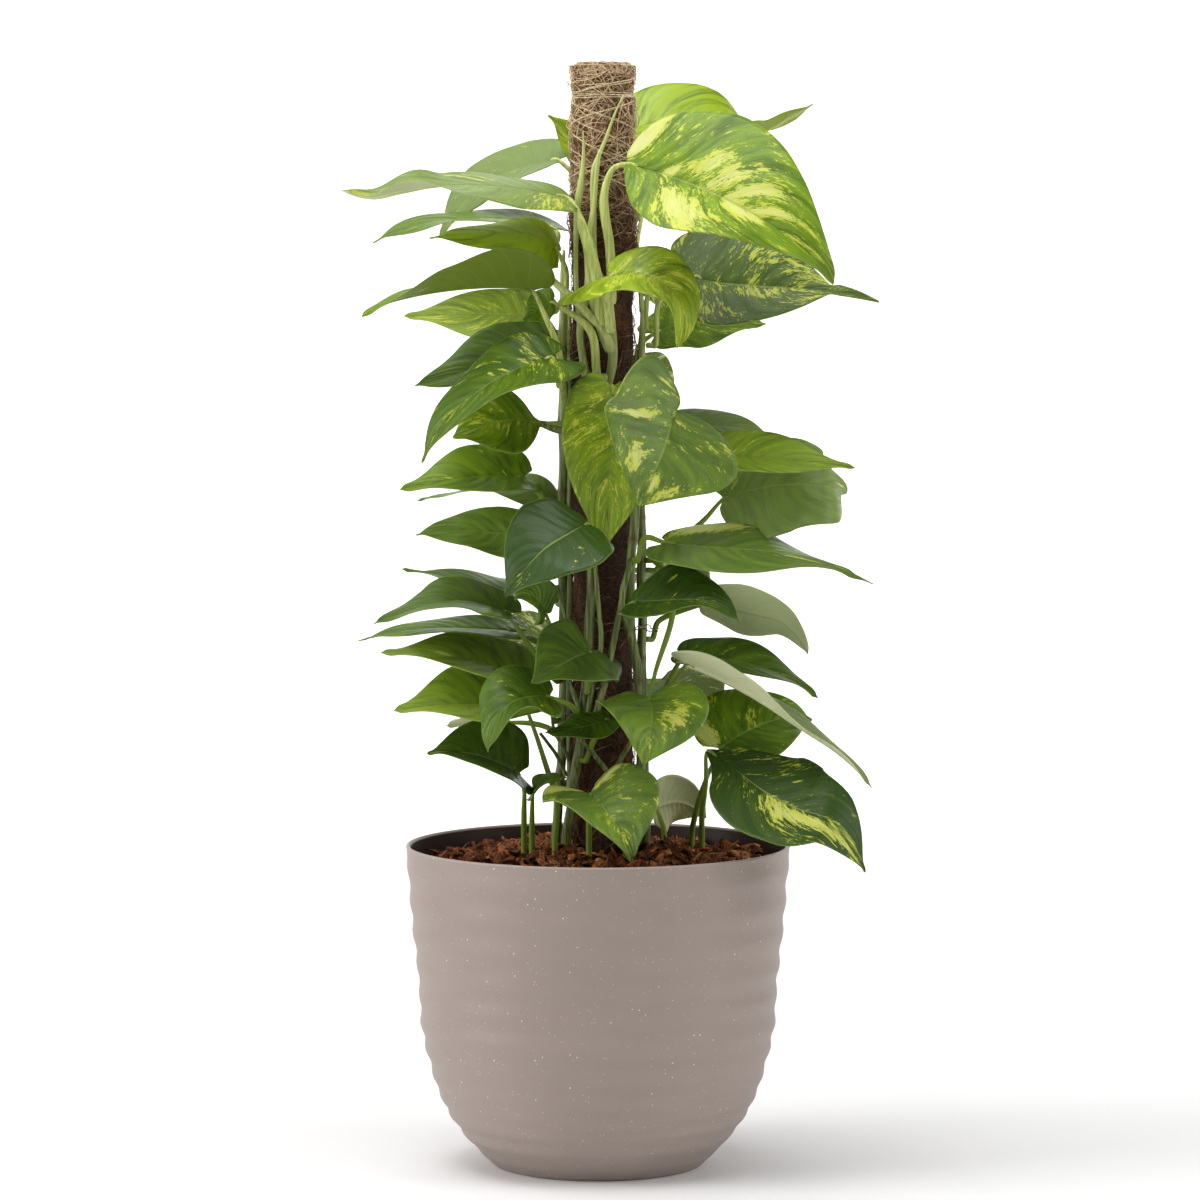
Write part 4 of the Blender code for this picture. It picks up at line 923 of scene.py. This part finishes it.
leaf("leaf_12", [(553, 358, -60), (520, 367, -70), (480, 390, -77), (446, 420, -80), (422, 463, -78)], 52,
     (45, 57, 50), 7, "vine_left", 430, [(564, 400, -40), (560, 374, -54)], lobe=(1.35, 0.8),
     stalk_width=1.2, tone=0.22, cream=-0.06,
     patches=[(0.15, 0.2, 0.10, 0.5, 0.10), (0.9, 0, 0.25, 1, 0.10)])
leaf("leaf_13", [(540, 423, -36), (515, 420, -44), (485, 425, -52), (453, 438, -58)], 60, (60, 38, 35), 5,
     "vine_front", 440, [(575, 426, -32)], lobe=-0.6, tone=0.60, cream=-0.04,
     patches=[(0.6, 0.0, 0.3, 0.5, 0.06)])
leaf("leaf_14", [(524, 478, -32), (495, 476, -40), (457, 479, -48), (400, 490, -52)], 60, 61, 13,
     "vine_left", 530, [(552, 512, -15), (538, 492, -22)], tone=0.54, cream=-0.13,
     patches=[(0.5, 0.1, 0.4, 0.12, 0.08)])
leaf("leaf_15", [(549, 500, 14), (526, 488, 12), (490, 487, 16), (417, 501, 20)], 48, (60, 88, 95), 0,
     "vine_left", 515, [(555, 506, 12)], tone=0.45, cream=-0.25, sheen_and_pale_under=0.35)
leaf("leaf_16", [(540, 530, -16), (500, 533, -22), (460, 530, -30), (416, 535, -36)], 56, 58, 0,
     "vine_left", 575, [(552, 545, -8)], tone=0.46, cream=-0.25, sheen_and_pale_under=0.12)
leaf("leaf_17", [(588, 524, -84), (568, 534, -98), (540, 553, -108), (505, 597, -112)], 74, 42, 5,
     "vine_front", 560, [(592, 536, -56)], lobe=(0.2, 0.3), tone=-0.12, cream=-0.13,
     patches=[(0.85, 0, 0.2, 1, 0.07)])
leaf("leaf_18", [(550, 592, 20), (510, 590, 15), (465, 580, 12), (402, 569, 10)], 48, 78, 3,
     "vine_left", 605, [(556, 598, 14)], tone=0.3, cream=-0.25, sheen_and_pale_under=0.1)
leaf("leaf_19", [(510, 614, -32), (466, 601, -42), (430, 605, -50), (374, 624, -52)], 58, 73, 10,
     "vine_left", 680, [(545, 668, -20), (520, 632, -30)], tone=0.22, cream=-0.25, sheen_and_pale_under=0.05)
leaf("leaf_19b", [(546, 614, -40), (534, 597, -52), (514, 600, -62)], 34, 50, 5, "vine_left", 650,
     [(556, 640, -28)], lobe=0.5, tone=0.22, cream=-0.25)
leaf("leaf_20", [(516, 632, -5), (470, 628, -15), (420, 629, -22), (358, 641, -25)], 42, 78, 5,
     "vine_left", 665, [(545, 648, 0)], tone=0.32, cream=-0.12, sheen_and_pale_under=0.1)
# Leaf 21's tone is raised as painted light, to brighten it where it stands in shade.
leaf("leaf_21", [(536, 684, -12), (500, 668, -24), (449, 656, -34), (381, 653, -38)], 62, 68, 12,
     "vine_left", 720, [(550, 700, -8)], tone=0.78, sheen_and_pale_under=0.24, cream=-0.14,
     patches=[(0.63, 0.1, 0.04, 0.25, 0.36)])
leaf("leaf_22", [(522, 700, -30), (480, 704, -42), (440, 705, -52), (394, 711, -56)], 70, 61, 16,
     None, 0, [(557, 800, -26), (549, 775, -28), (535, 732, -29)], tone=0.76, sheen_and_pale_under=0.14, cream=-0.13)
leaf("leaf_23", [(550, 697, -70), (516, 700, -86), (498, 718, -95), (488, 752, -97)], 56, 57, 9,
     "vine_front", 715, [(570, 705, -52)], lobe=(0.5, 0.6), tone=0.20, cream=-0.10,
     patches=[(0.35, 0.5, 0.1, 0.3, 0.08)])
leaf("leaf_24", [(500, 722, 35), (470, 722, 35), (446, 726, 35)], 36, 120, 0, "vine_back_left", 740,
     [(540, 725, 32)], tone=0.5, cream=-0.1, sheen_and_pale_under=1)
leaf("leaf_25", [(519, 774, -28), (494, 761, -38), (466, 753, -46), (427, 754, -50)], 64, 61, 21,
     None, 0, [(524, 810, -16), (524, 790, -24)], tone=0.10, cream=-0.14,
     patches=[(0.95, -0.3, 0.10, 0.8, 0.36)])
leaf("leaf_25b", [(533, 792, -38), (546, 782, -46), (567, 778, -50)], 22, -75, 10, None, 0,
     [(532, 815, -24)], tone=0.25, cream=-0.25)
leaf("leaf_26", [(590, 794, -72), (607, 812, -88), (622, 836, -97), (630, 861, -97)], 78, (-36, -46, -50), 22,
     None, 0, [(589, 822, -50), (589, 803, -60)], lobe=(0.5, 2.8), tone=0.36, sheen_and_pale_under=0.2, cream=-0.05,
     patches=[(0.04, 0.70, 0.05, 0.40, 0.36), (0.10, -0.70, 0.05, 0.40, 0.30), (0.6, 0.1, 0.25, 0.4, 0.08),
              (0.96, 0, 0.06, 0.8, 0.4)])
leaf("leaf_27", [(656, 808, 55), (682, 803, 62), (706, 818, 66)], 44, (-150, -150), 0, None, 0,
     [(660, 818, 50)], tone=0.5, cream=0.0, sheen_and_pale_under=1)
leaf("leaf_28", [(650, 697, -52), (652, 722, -76), (643, 764, -92)], 72, -5, 10, "vine_right", 560,
     [(672, 580, -10), (672, 618, -22), (656, 670, -42)], lobe=(0.4, 2.4), tone=0.46, sheen_and_pale_under=0.14, cream=-0.12,
     patches=[(0.45, -0.42, 0.25, 0.38, 0.25), (0.80, -0.20, 0.14, 0.40, 0.18)])
leaf("leaf_29", [(590, 652, -50), (568, 661, -76), (532, 683, -98)], 58, 40, 5, "vine_front", 690,
     [(588, 668, -38)], lobe=(4.3, 0.8), tone=0.16, sheen_and_pale_under=0.08, cream=-0.4)
leaf("leaf_30", [(608, 719, -44), (578, 728, -54), (545, 733, -60)], 32, 60, 0, "vine_front", 760,
     [(594, 740, -36)], tone=0.22, cream=-0.3)
leaf("leaf_31", [(612, 386, -52), (613, 440, -56), (608, 490, -54), (603, 549, -46)], 72, -14, 12,
     "vine_front", 400, [(607, 393, -42)], lobe=(0.2, 0.7), tone=0.70, cream=-0.01,
     patches=[(0.25, 0.4, 0.12, 0.4, 0.08)])
leaf("leaf_32", [(674, 412, -80), (667, 440, -84), (653, 475, -90), (639, 506, -90)], 100, -22, 8,
     "vine_right_front", 430, [(662, 434, -30), (680, 425, -56)], lobe=(0.1, 4.2),
     tone=0.34, cream=-0.04, sheen_and_pale_under=0.2,
     patches=[(0.25, 0.6, 0.040, 0.25, 0.34), (0.56, 0.45, 0.09, 0.3, 0.26), (0.76, -0.15, 0.08, 0.12, 0.42),
              (0.12, -0.25, 0.020, 0.25, 0.20), (0.76, -0.75, 0.10, 0.25, 0.18), (0.96, 0, 0.06, 0.6, 0.2)])
leaf("leaf_33", [(668, 436, 22), (720, 426, 30), (775, 440, 34)], 58, -65, 0, "vine_back_right", 470,
     [(650, 455, 26)], tone=0.4, cream=-0.1, sheen_and_pale_under=0.5)
leaf("leaf_34", [(700, 457, -36), (745, 456, -48), (800, 461, -58), (855, 468, -60)], 42, -50, 12,
     "vine_right", 500, [(668, 476, -14)], lobe=0.6, tone=0.68, sheen_and_pale_under=0.1, cream=-0.09)
leaf("leaf_35", [(723, 499, -8), (762, 488, -24), (800, 484, -38), (827, 487, -40), (840, 491, -24),
                 (841, 495, -4)], 80, (-40, -40, -40), -5,
     "vine_right", 570, [(668, 552, 0), (703, 521, -4)], lobe=(0.5, 0.2), tone=0.56, cream=-0.22, sheen_and_pale_under=0.58,
     patches=[(0.80, -0.55, 0.045, 0.25, 0.5), (0.12, -0.5, 0.05, 0.3, 0.34)])
leaf("leaf_36", [(666, 543, -52), (726, 548, -66), (790, 554, -74), (830, 565, -78), (873, 584, -78)], 72,
     (-66, -68, -75, -75), (2, 0, -8, -5), "vine_right_front", 560, [(645, 538, -44)],
     lobe=(0.4, 0.6), tail=0.1, tone=0.28, cream=-0.12, sheen_and_pale_under=0.15,
     patches=[(0.20, -0.85, 0.20, 0.28, 0.40), (0.62, 0.35, 0.04, 0.2, 0.3), (0.84, -0.4, 0.05, 0.2, 0.3)])
leaf("leaf_37", [(632, 603, -62), (672, 600, -82), (708, 602, -94), (740, 622, -100)], 58, -61, 15,
     "vine_right_front", 615, [(626, 610, -48)], lobe=0.3, tone=0.03, cream=-0.11,
     patches=[(0.5, 0.05, 0.10, 0.2, 0.14), (0.9, 0.4, 0.12, 0.5, 0.14)])
leaf("leaf_38", [(705, 604, 15), (750, 613, 5), (785, 624, 0), (808, 654, 0)], 42, (-140, -145), 5,
     "vine_right", 640, [(660, 620, 16)], lobe=0.5, tone=0.62, cream=-0.2, sheen_and_pale_under=0.7)
leaf("leaf_39", [(684, 655, 0), (730, 660, -8), (775, 672, -12), (818, 698, -12)], 52, -70, 10,
     "vine_right", 720, [(665, 690, 4)], lobe=0.6, tone=0.2, cream=-0.08)
leaf("leaf_40", [(686, 665, -30), (718, 678, -42), (757, 699, -54), (800, 728, -62), (842, 757, -64),
                 (872, 788, -60)], 40, (-115, -100, -80, -75), 20, "vine_right", 740, [(665, 700, -16)],
     lobe=0.6, tone=0.58, cream=-0.2, sheen_and_pale_under=1)
leaf("leaf_41", [(720, 749, -20), (750, 730, -12), (785, 718, 0), (812, 720, 12)], 72, -47, 12, None, 0,
     [(694, 820, 12), (704, 785, -4)], tone=0.36, cream=-0.09,
     patches=[(0.07, -0.6, 0.14, 0.8, 0.32), (0.4, -0.15, 0.06, 0.3, 0.15)])
leaf("leaf_42", [(707, 751, -48), (732, 767, -55), (762, 790, -72), (795, 808, -84), (832, 822, -90),
                 (865, 872, -88)], 80, (-40, -44, -50, -52), 4, None, 0, [(702, 815, -2), (706, 780, -32)],
     lobe=-0.9, tone=0.0, cream=-0.09,
     patches=[(0.25, -0.85, 0.25, 0.25, 0.12), (0.48, 0.22, 0.12, 0.22, 0.20), (0.74, 0.5, 0.20, 0.5, 0.21),
              (0.82, -0.2, 0.10, 0.3, 0.18)])
leaf("leaf_43", [(693, 277, -12), (720, 283, -20), (770, 287, -30), (833, 291, -38), (879, 302, -36)], 100,
     -45, 12, "vine_right", 345, [(660, 300, -4)], lobe=(2.4, 0.2), tail=0.22,
     tone=0.14, cream=-0.03, sheen_and_pale_under=0.18,
     patches=[(0.6, -0.7, 0.3, 0.4, 0.12), (0.4, 0.15, 0.15, 0.15, 0.15), (0.62, 0.6, 0.08, 0.3, 0.12)])
leaf("leaf_45", [(612, 276, -52), (650, 276, -68), (680, 302, -80), (677, 348, -84)], 52, (-55, -50, -30), 8,
     "vine_front", 330, [(607, 292, -44)], lobe=(0.5, 3.8), stalk_width=1.3, tone=0.84, cream=-0.01,
     patches=[(0.40, -0.3, 0.3, 0.5, 0.08), (0.85, -0.2, 0.2, 0.5, 0.08)])
leaf("leaf_46", [(655, 333, 20), (700, 321, 26), (766, 324, 30)], 62, -62, -4, "vine_back_right", 365,
     [(640, 345, 24)], tone=0.46, cream=-0.01)
leaf("leaf_47", [(552, 302, -28), (540, 308, -26), (524, 322, -24)], 28, 40, 0, "vine_front", 378,
     [(590, 330, -36)], stalk_width=1.5, tone=0.45, cream=-0.3)
# The back carries leaves like the front's, which the photo doesn't show.
leaf("leaf_48", [(640, 200, 60), (690, 190, 85), (740, 215, 100)], 70, (-120, -130), 8,
     "vine_back_right", 250, [(625, 215, 40)], tone=0.45, cream=0.05)
leaf("leaf_49", [(615, 375, 50), (625, 420, 85), (640, 490, 100)], 80, (170, 180), 10, "vine_back_right", 420,
     [(618, 385, 36)], tone=0.3, cream=0.04)
leaf("leaf_50", [(655, 268, 60), (672, 290, 85), (680, 330, 95)], 60, (-150, -160), 8, "vine_back_right", 300,
     [(630, 275, 42)], tone=0.5, cream=0.08)
leaf("leaf_51", [(572, 340, 55), (535, 360, 85), (500, 385, 100)], 60, (125, 130), 8, "vine_back_left", 370,
     [(580, 345, 38)], tone=0.3, cream=0.0)
leaf("leaf_52", [(570, 520, 50), (552, 540, 80), (535, 570, 92)], 64, (150, 165), 8, "vine_back_left", 545,
     [(582, 525, 38)], tone=0.2, cream=-0.05)
leaf("leaf_53", [(655, 570, 55), (685, 580, 85), (715, 600, 95)], 60, (-130, -140), 8, "vine_back_right", 590,
     [(632, 572, 38)], tone=0.35, cream=0.03)
leaf("leaf_54", [(660, 680, 60), (690, 700, 90), (725, 730, 105)], 72, (-140, -150), 8,
     "vine_back_right", 700, [(632, 685, 38)], tone=0.25, cream=-0.03)
leaf("leaf_55", [(565, 645, 50), (530, 660, 85), (500, 700, 100)], 72, (140, 155), 8, "vine_back_left", 660,
     [(580, 648, 38)], tone=0.35, cream=0.0)
leaf("leaf_57", [(592, 775, 72), (602, 800, 95), (612, 828, 104)], 60, (180, 180), 8, None, 0,
     [(598, 800, 64)], tone=0.3, cream=0.0)


def leaf_material():
    """Leaf skin. It reads how far across, along and under a point lies, and the leaf's own look."""
    made, s = new_material("pothos_leaf")
    across, along, under = s.painted("blade", "Vector").parts()
    tone, cream, sheen_and_pale_under = s.painted("look", "Vector").parts()
    skin = s.painted("skin", "Vector")
    q = abs(across)
    vein = along - q * VEIN_LEAN

    def streaks(spacing, length, detail, turn=0.0):
        """Noise in skin millimetres, drawn out along the side veins."""
        where = s.node("Mapping", {}, {"Vector": skin, "Scale": (1 / spacing, 1 / length, 1),
                                       "Rotation": (0, 0, turn)})
        return s.noise(where, 1.0, detail, 0.62, 0.3)

    streak = streaks(2.6, 10, 4)
    blotch = streaks(11, 22, 2)
    grain = streaks(0.8, 5, 2)
    marble = streaks(6, 30, 3)
    dots = streaks(1.2, 3.0, 2)
    amount = (streak - 0.5) * 1.0 + (blotch - 0.5) * 0.55 + (grain - 0.5) * 0.25 + cream
    small = (dots - 0.5) + (blotch - 0.5) * 0.5 + (marble - 0.5) * 0.4 + cream * 1.3 + 0.05
    fleck = amount.step(0.100, 0.145).greater(small.step(0.17, 0.22) * 0.8)
    halo = amount.step(-0.08, 0.15)
    upper = (tone * 2).mix(GREEN_DARK, GREEN_MID)
    upper = (tone * 2 - 1).greater(0.0).mix(upper, GREEN_LIME)
    upper = ((0.52 - marble) * 3.0).greater(0.0).mix(upper, GREEN_DARK)
    upper = ((halo * 0.3 + marble.step(0.45, 0.72) * 0.5) * (tone + 0.12)).mix(upper, GREEN_LIME)
    # Painted sheen: the upper face is greyed towards grey-green, a painted reflection of the bright
    # surroundings.
    upper = (sheen_and_pale_under * 0.9).mix(upper, SHEEN_GREY_GREEN)
    pale = ((cream - 0.05) * 3 + grain - 0.5).mix(YELLOW, CREAM)
    upper = (fleck * 0.9).mix(upper, pale)
    side_vein = 1 - (vein * VEINS).wave().step(0.0, 0.16)
    upper = (side_vein * 0.05).mix(upper, RIB_GREEN)
    rib = 1 - q.step(0.010, 0.032)
    upper = (rib * 0.5).mix(upper, RIB_GREEN)
    upper = (q.step(0.970, 0.998) * 0.35).mix(upper, RIB_GREEN)
    below = (tone * 2 - 0.9).greater(0.0).mix(UNDER_OLIVE, UNDER_LIME)
    # The same value pales the underside: partly its own paler green, partly a painted reflection.
    below = sheen_and_pale_under.mix(below, UNDER_PALE)
    below = (fleck * 0.65).mix(below, CREAM)
    below = (side_vein * 0.12 + rib * 0.5).mix(below, RIB_GREEN)
    colour = under.step(0.3, 0.7).mix(upper, below)
    stripe = s.noise(s.place((1, 1, 0.05)), 620, 2)
    # Painted light: the stalks are painted paler higher up, between the same heights as the stems, over pale
    # stripes of their own.
    high = s.height().step(*SHADE_TO_LIGHT_HEIGHTS)
    stalk = (high * (0.45 + stripe.step(0.3, 0.7) * 0.55)).mix(STALK_GREEN, STALK_PALE)
    colour = under.step(1.4, 1.6).mix(colour, stalk)
    relief = (vein * VEINS).wave() * 0.45 + grain * 0.35 + streak * 0.3 + marble * 0.8 - rib * 0.6
    return set_surface(made, colour, 0.38 + under.step(0.3, 0.7) * 0.20 + grain * 0.08, relief,
                       distance=0.0008, strength=0.6, Specular_IOR_Level=0.28, Coat_Weight=0.06,
                       Coat_Roughness=0.15, Subsurface_Weight=0.12, Subsurface_Radius=(0.5, 1.0, 0.1),
                       Subsurface_Scale=0.0015)


leaf_skin = leaf_material()


def stalk_track(name, made):
    curve, _ = smooth_path([at(p) for p in made["rib"]])
    end, _ = curve(np.array([0.0, 0.05]))
    bends = [at(p) for p in made["stalk"]]
    if made["stem"] is None:
        start = foot_points(name)
    else:
        centre, stem_radius = stem_at(made["stem"], made["row"])
        away = bends[0] - centre
        away[2] = 0
        away /= np.linalg.norm(away)
        start = [centre + away * (stem_radius - STALK_SINK + step) for step in (0, 0.003, 0.006)]
    track, _ = smooth_path(start + bends + list(end))[0](np.linspace(0, 1, 40))
    return track


def build_blade(name, made, seed):
    """A closed blade with raised fields between its veins, a wavy edge and a ribbed underside."""
    cells = (72, 36) if made["width"] > 75 else (54, 28)
    bm = bmesh.new()
    bmesh.ops.create_grid(bm, x_segments=cells[1], y_segments=cells[0], size=1)
    grid = np.array([vert.co for vert in bm.verts])
    t = (grid[:, 1] + 1) / 2
    v = np.sign(grid[:, 0]) * np.abs(grid[:, 0]) ** 1.25
    q = np.abs(v)
    vein = t - q * VEIN_LEAN
    field = 1 - np.abs((vein * VEINS) % 1 * 2 - 1) ** 2
    half = made["width"] / 2000
    ease = np.clip(t / 0.08, 0, 1) * np.clip((1 - t) / 0.1, 0, 1)
    relief = FIELD_RELIEF * field * np.sin(pi * np.clip(q, 0, 1)) * ease
    relief += made["waves"] * q**3 * ease * np.sin(2 * pi * (t * 2.6 + seed * 1.7) + np.sign(v) * 1.1)
    relief -= RIB_GROOVE * np.exp(-((q * half / 0.0013) ** 2)) * (1 - t)
    for vert, point in zip(bm.verts, blade_points(made, t, v, relief)):
        vert.co = point
    blade = add_piece(name, bm, leaf_skin)
    thick = blade.modifiers.new("thickness", "SOLIDIFY")
    thick.thickness = BLADE_THICKNESS
    thick.offset = 0
    upward = np.array([vert.normal for vert in blade.data.vertices])
    bpy.context.view_layer.update()
    mesh = bpy.data.meshes.new_from_object(blade.evaluated_get(bpy.context.evaluated_depsgraph_get()))
    blade.modifiers.clear()
    blade.data = mesh
    count = len(t)
    points = np.array([vert.co for vert in mesh.vertices])
    first_is_upper = np.sum((points[:count] - points[count:2 * count]) * upward) > 0
    under = np.repeat([0.0, 1.0] if first_is_upper else [1.0, 0.0], count)
    ridge = RIB_RIDGE * np.exp(-((q * half / 0.0012) ** 2)) * np.clip(1 - t, 0, 1) ** 0.8
    points[under == 1] -= upward * ridge[:, None]
    for vert, point in zip(mesh.vertices, points):
        vert.co = point
    return blade, np.tile(t, 2), np.tile(v, 2), under


for order, (name, made) in enumerate(LEAVES.items()):
    seed = (order * 0.618) % 1
    blade, t, v, under = build_blade("blade_" + name[5:], made, seed)
    count = len(t)
    cream = np.full(count, float(made["cream"]))
    vein = t - VEIN_LEAN * np.abs(v)
    for along, across, reach_along, reach_across, more in made["patches"]:
        apart = (vein - along + VEIN_LEAN * abs(across)) / reach_along
        cream += more * np.exp(-(apart**2) - ((v - across) / reach_across) ** 2)
    set_attribute(blade.data, "blade", "FLOAT_VECTOR", np.stack([v, t, under], 1))
    looks = np.stack([np.full(count, made["tone"]), cream, np.full(count, made["sheen_and_pale_under"])], 1)
    set_attribute(blade.data, "look", "FLOAT_VECTOR", looks)
    length = smooth_path([at(p) for p in made["rib"]])[1] * 1000
    set_attribute(blade.data, "skin", "FLOAT_VECTOR",
                  np.stack([vein * length, v * made["width"] / 2, np.full(count, 31.7 * seed + order)], 1))
    track = stalk_track(name, made)
    thick = STALK_RADIUS * made["stalk_width"]
    radii = np.interp(np.linspace(0, 1, 40), [0, 0.6, 1], [thick, thick, STALK_END_RADIUS])
    stalk = strands("stalk_" + name[5:], [(track, radii)], leaf_skin, 2)
    count = len(stalk.data.vertices)
    set_attribute(stalk.data, "blade", "FLOAT_VECTOR", np.tile([0.0, 0.0, 2.0], (count, 1)))
    set_attribute(stalk.data, "look", "FLOAT_VECTOR", np.tile([made["tone"], -0.5, 0.0], (count, 1)))
    set_attribute(stalk.data, "skin", "FLOAT_VECTOR", np.zeros((count, 3)))
    with bpy.context.temp_override(active_object=blade, selected_editable_objects=[blade, stalk]):
        bpy.ops.object.join()
    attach(blade, "root")
    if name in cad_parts:
        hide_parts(name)

# The plant stands on a plain pale sweep of paper. A large lamp on each side and one overhead light it,
# two more light the paper behind, and it is seen from the front, a little above the pole's middle.
EYE = (0.0013, -EYE_DISTANCE, EYE_HEIGHT)
SWEEP_BEHIND = 3.6
SWEEP_BEFORE = 4.6
SWEEP_BEND = 1.2
SWEEP_SIDE = 8
WORLD_LIGHT = 0.24
SENSOR_WIDTH = 36
PHOTO_WIDTH = 1200
PAPER = (0.93, 0.93, 0.93, 1)
PAPER_SHADE = (0.91, 0.91, 0.91, 1)

bm = bmesh.new()
bmesh.ops.create_grid(bm, x_segments=2, y_segments=48, size=1)
for vert in bm.verts:
    run = (vert.co.y + 1) * 6.2
    flat = SWEEP_BEFORE + SWEEP_BEHIND
    turn = min(max((run - flat) / SWEEP_BEND, 0), pi / 2)
    rise = max(run - flat - SWEEP_BEND * pi / 2, 0)
    back = -SWEEP_BEFORE + min(run, flat) + SWEEP_BEND * sin(turn)
    vert.co = (vert.co.x * SWEEP_SIDE, back, SWEEP_BEND * (1 - cos(turn)) + rise)
paper, s = new_material("pale_paper")
fibre = s.noise(s.place(), 40, 2)
set_surface(paper, (fibre * 0.3).mix(PAPER, PAPER_SHADE), 0.9)
sweep = add_piece("sweep", bm, paper)

# Each lamp: its place, its width and height, its watts, and the point it faces.
LAMPS = {
    "lamp_left": ((-2.7, -0.8, 1.4), (1.4, 2.2), 50, (0, 0, 0.4)),
    "lamp_right": ((2.7, -0.8, 1.4), (1.4, 2.2), 33, (0, 0, 0.4)),
    "lamp_top": ((-0.3, -0.2, 2.5), (2.0, 1.6), 44, (0, 0, 0.4)),
    "lamp_wall_left": ((-1.6, 2.4, 1.9), (1.6, 1.0), 74, (-0.4, 4.8, 0.6)),
    "lamp_wall_right": ((1.6, 2.4, 1.9), (1.6, 1.0), 74, (0.4, 4.8, 0.6)),
}
for name, (place, size, power, target) in LAMPS.items():
    data = bpy.data.lights.new(name, "AREA")
    data.shape = "RECTANGLE"
    data.size, data.size_y = size
    data.energy = power
    lamp = bpy.data.objects.new(name, data)
    bpy.context.scene.collection.objects.link(lamp)
    lamp.location = place
    aim = Vector(target) - lamp.location
    lamp.rotation_euler = aim.to_track_quat("-Z", "Y").to_euler()

world = bpy.data.worlds.new("studio")
bpy.context.scene.world = world
world.use_nodes = True
world.node_tree.nodes["Background"].inputs["Color"].default_value = (1, 1, 1, 1)
world.node_tree.nodes["Background"].inputs["Strength"].default_value = WORLD_LIGHT

data = bpy.data.cameras.new("view")
data.sensor_width = SENSOR_WIDTH
data.lens = FOCAL_PIXELS * SENSOR_WIDTH / PHOTO_WIDTH
data.clip_end = 50
camera = bpy.data.objects.new("view", data)
bpy.context.scene.collection.objects.link(camera)
camera.location = EYE
camera.rotation_euler = (pi / 2 - EYE_TILT, 0, 0)
bpy.context.scene.camera = camera
bpy.context.scene.view_settings.view_transform = "Standard"
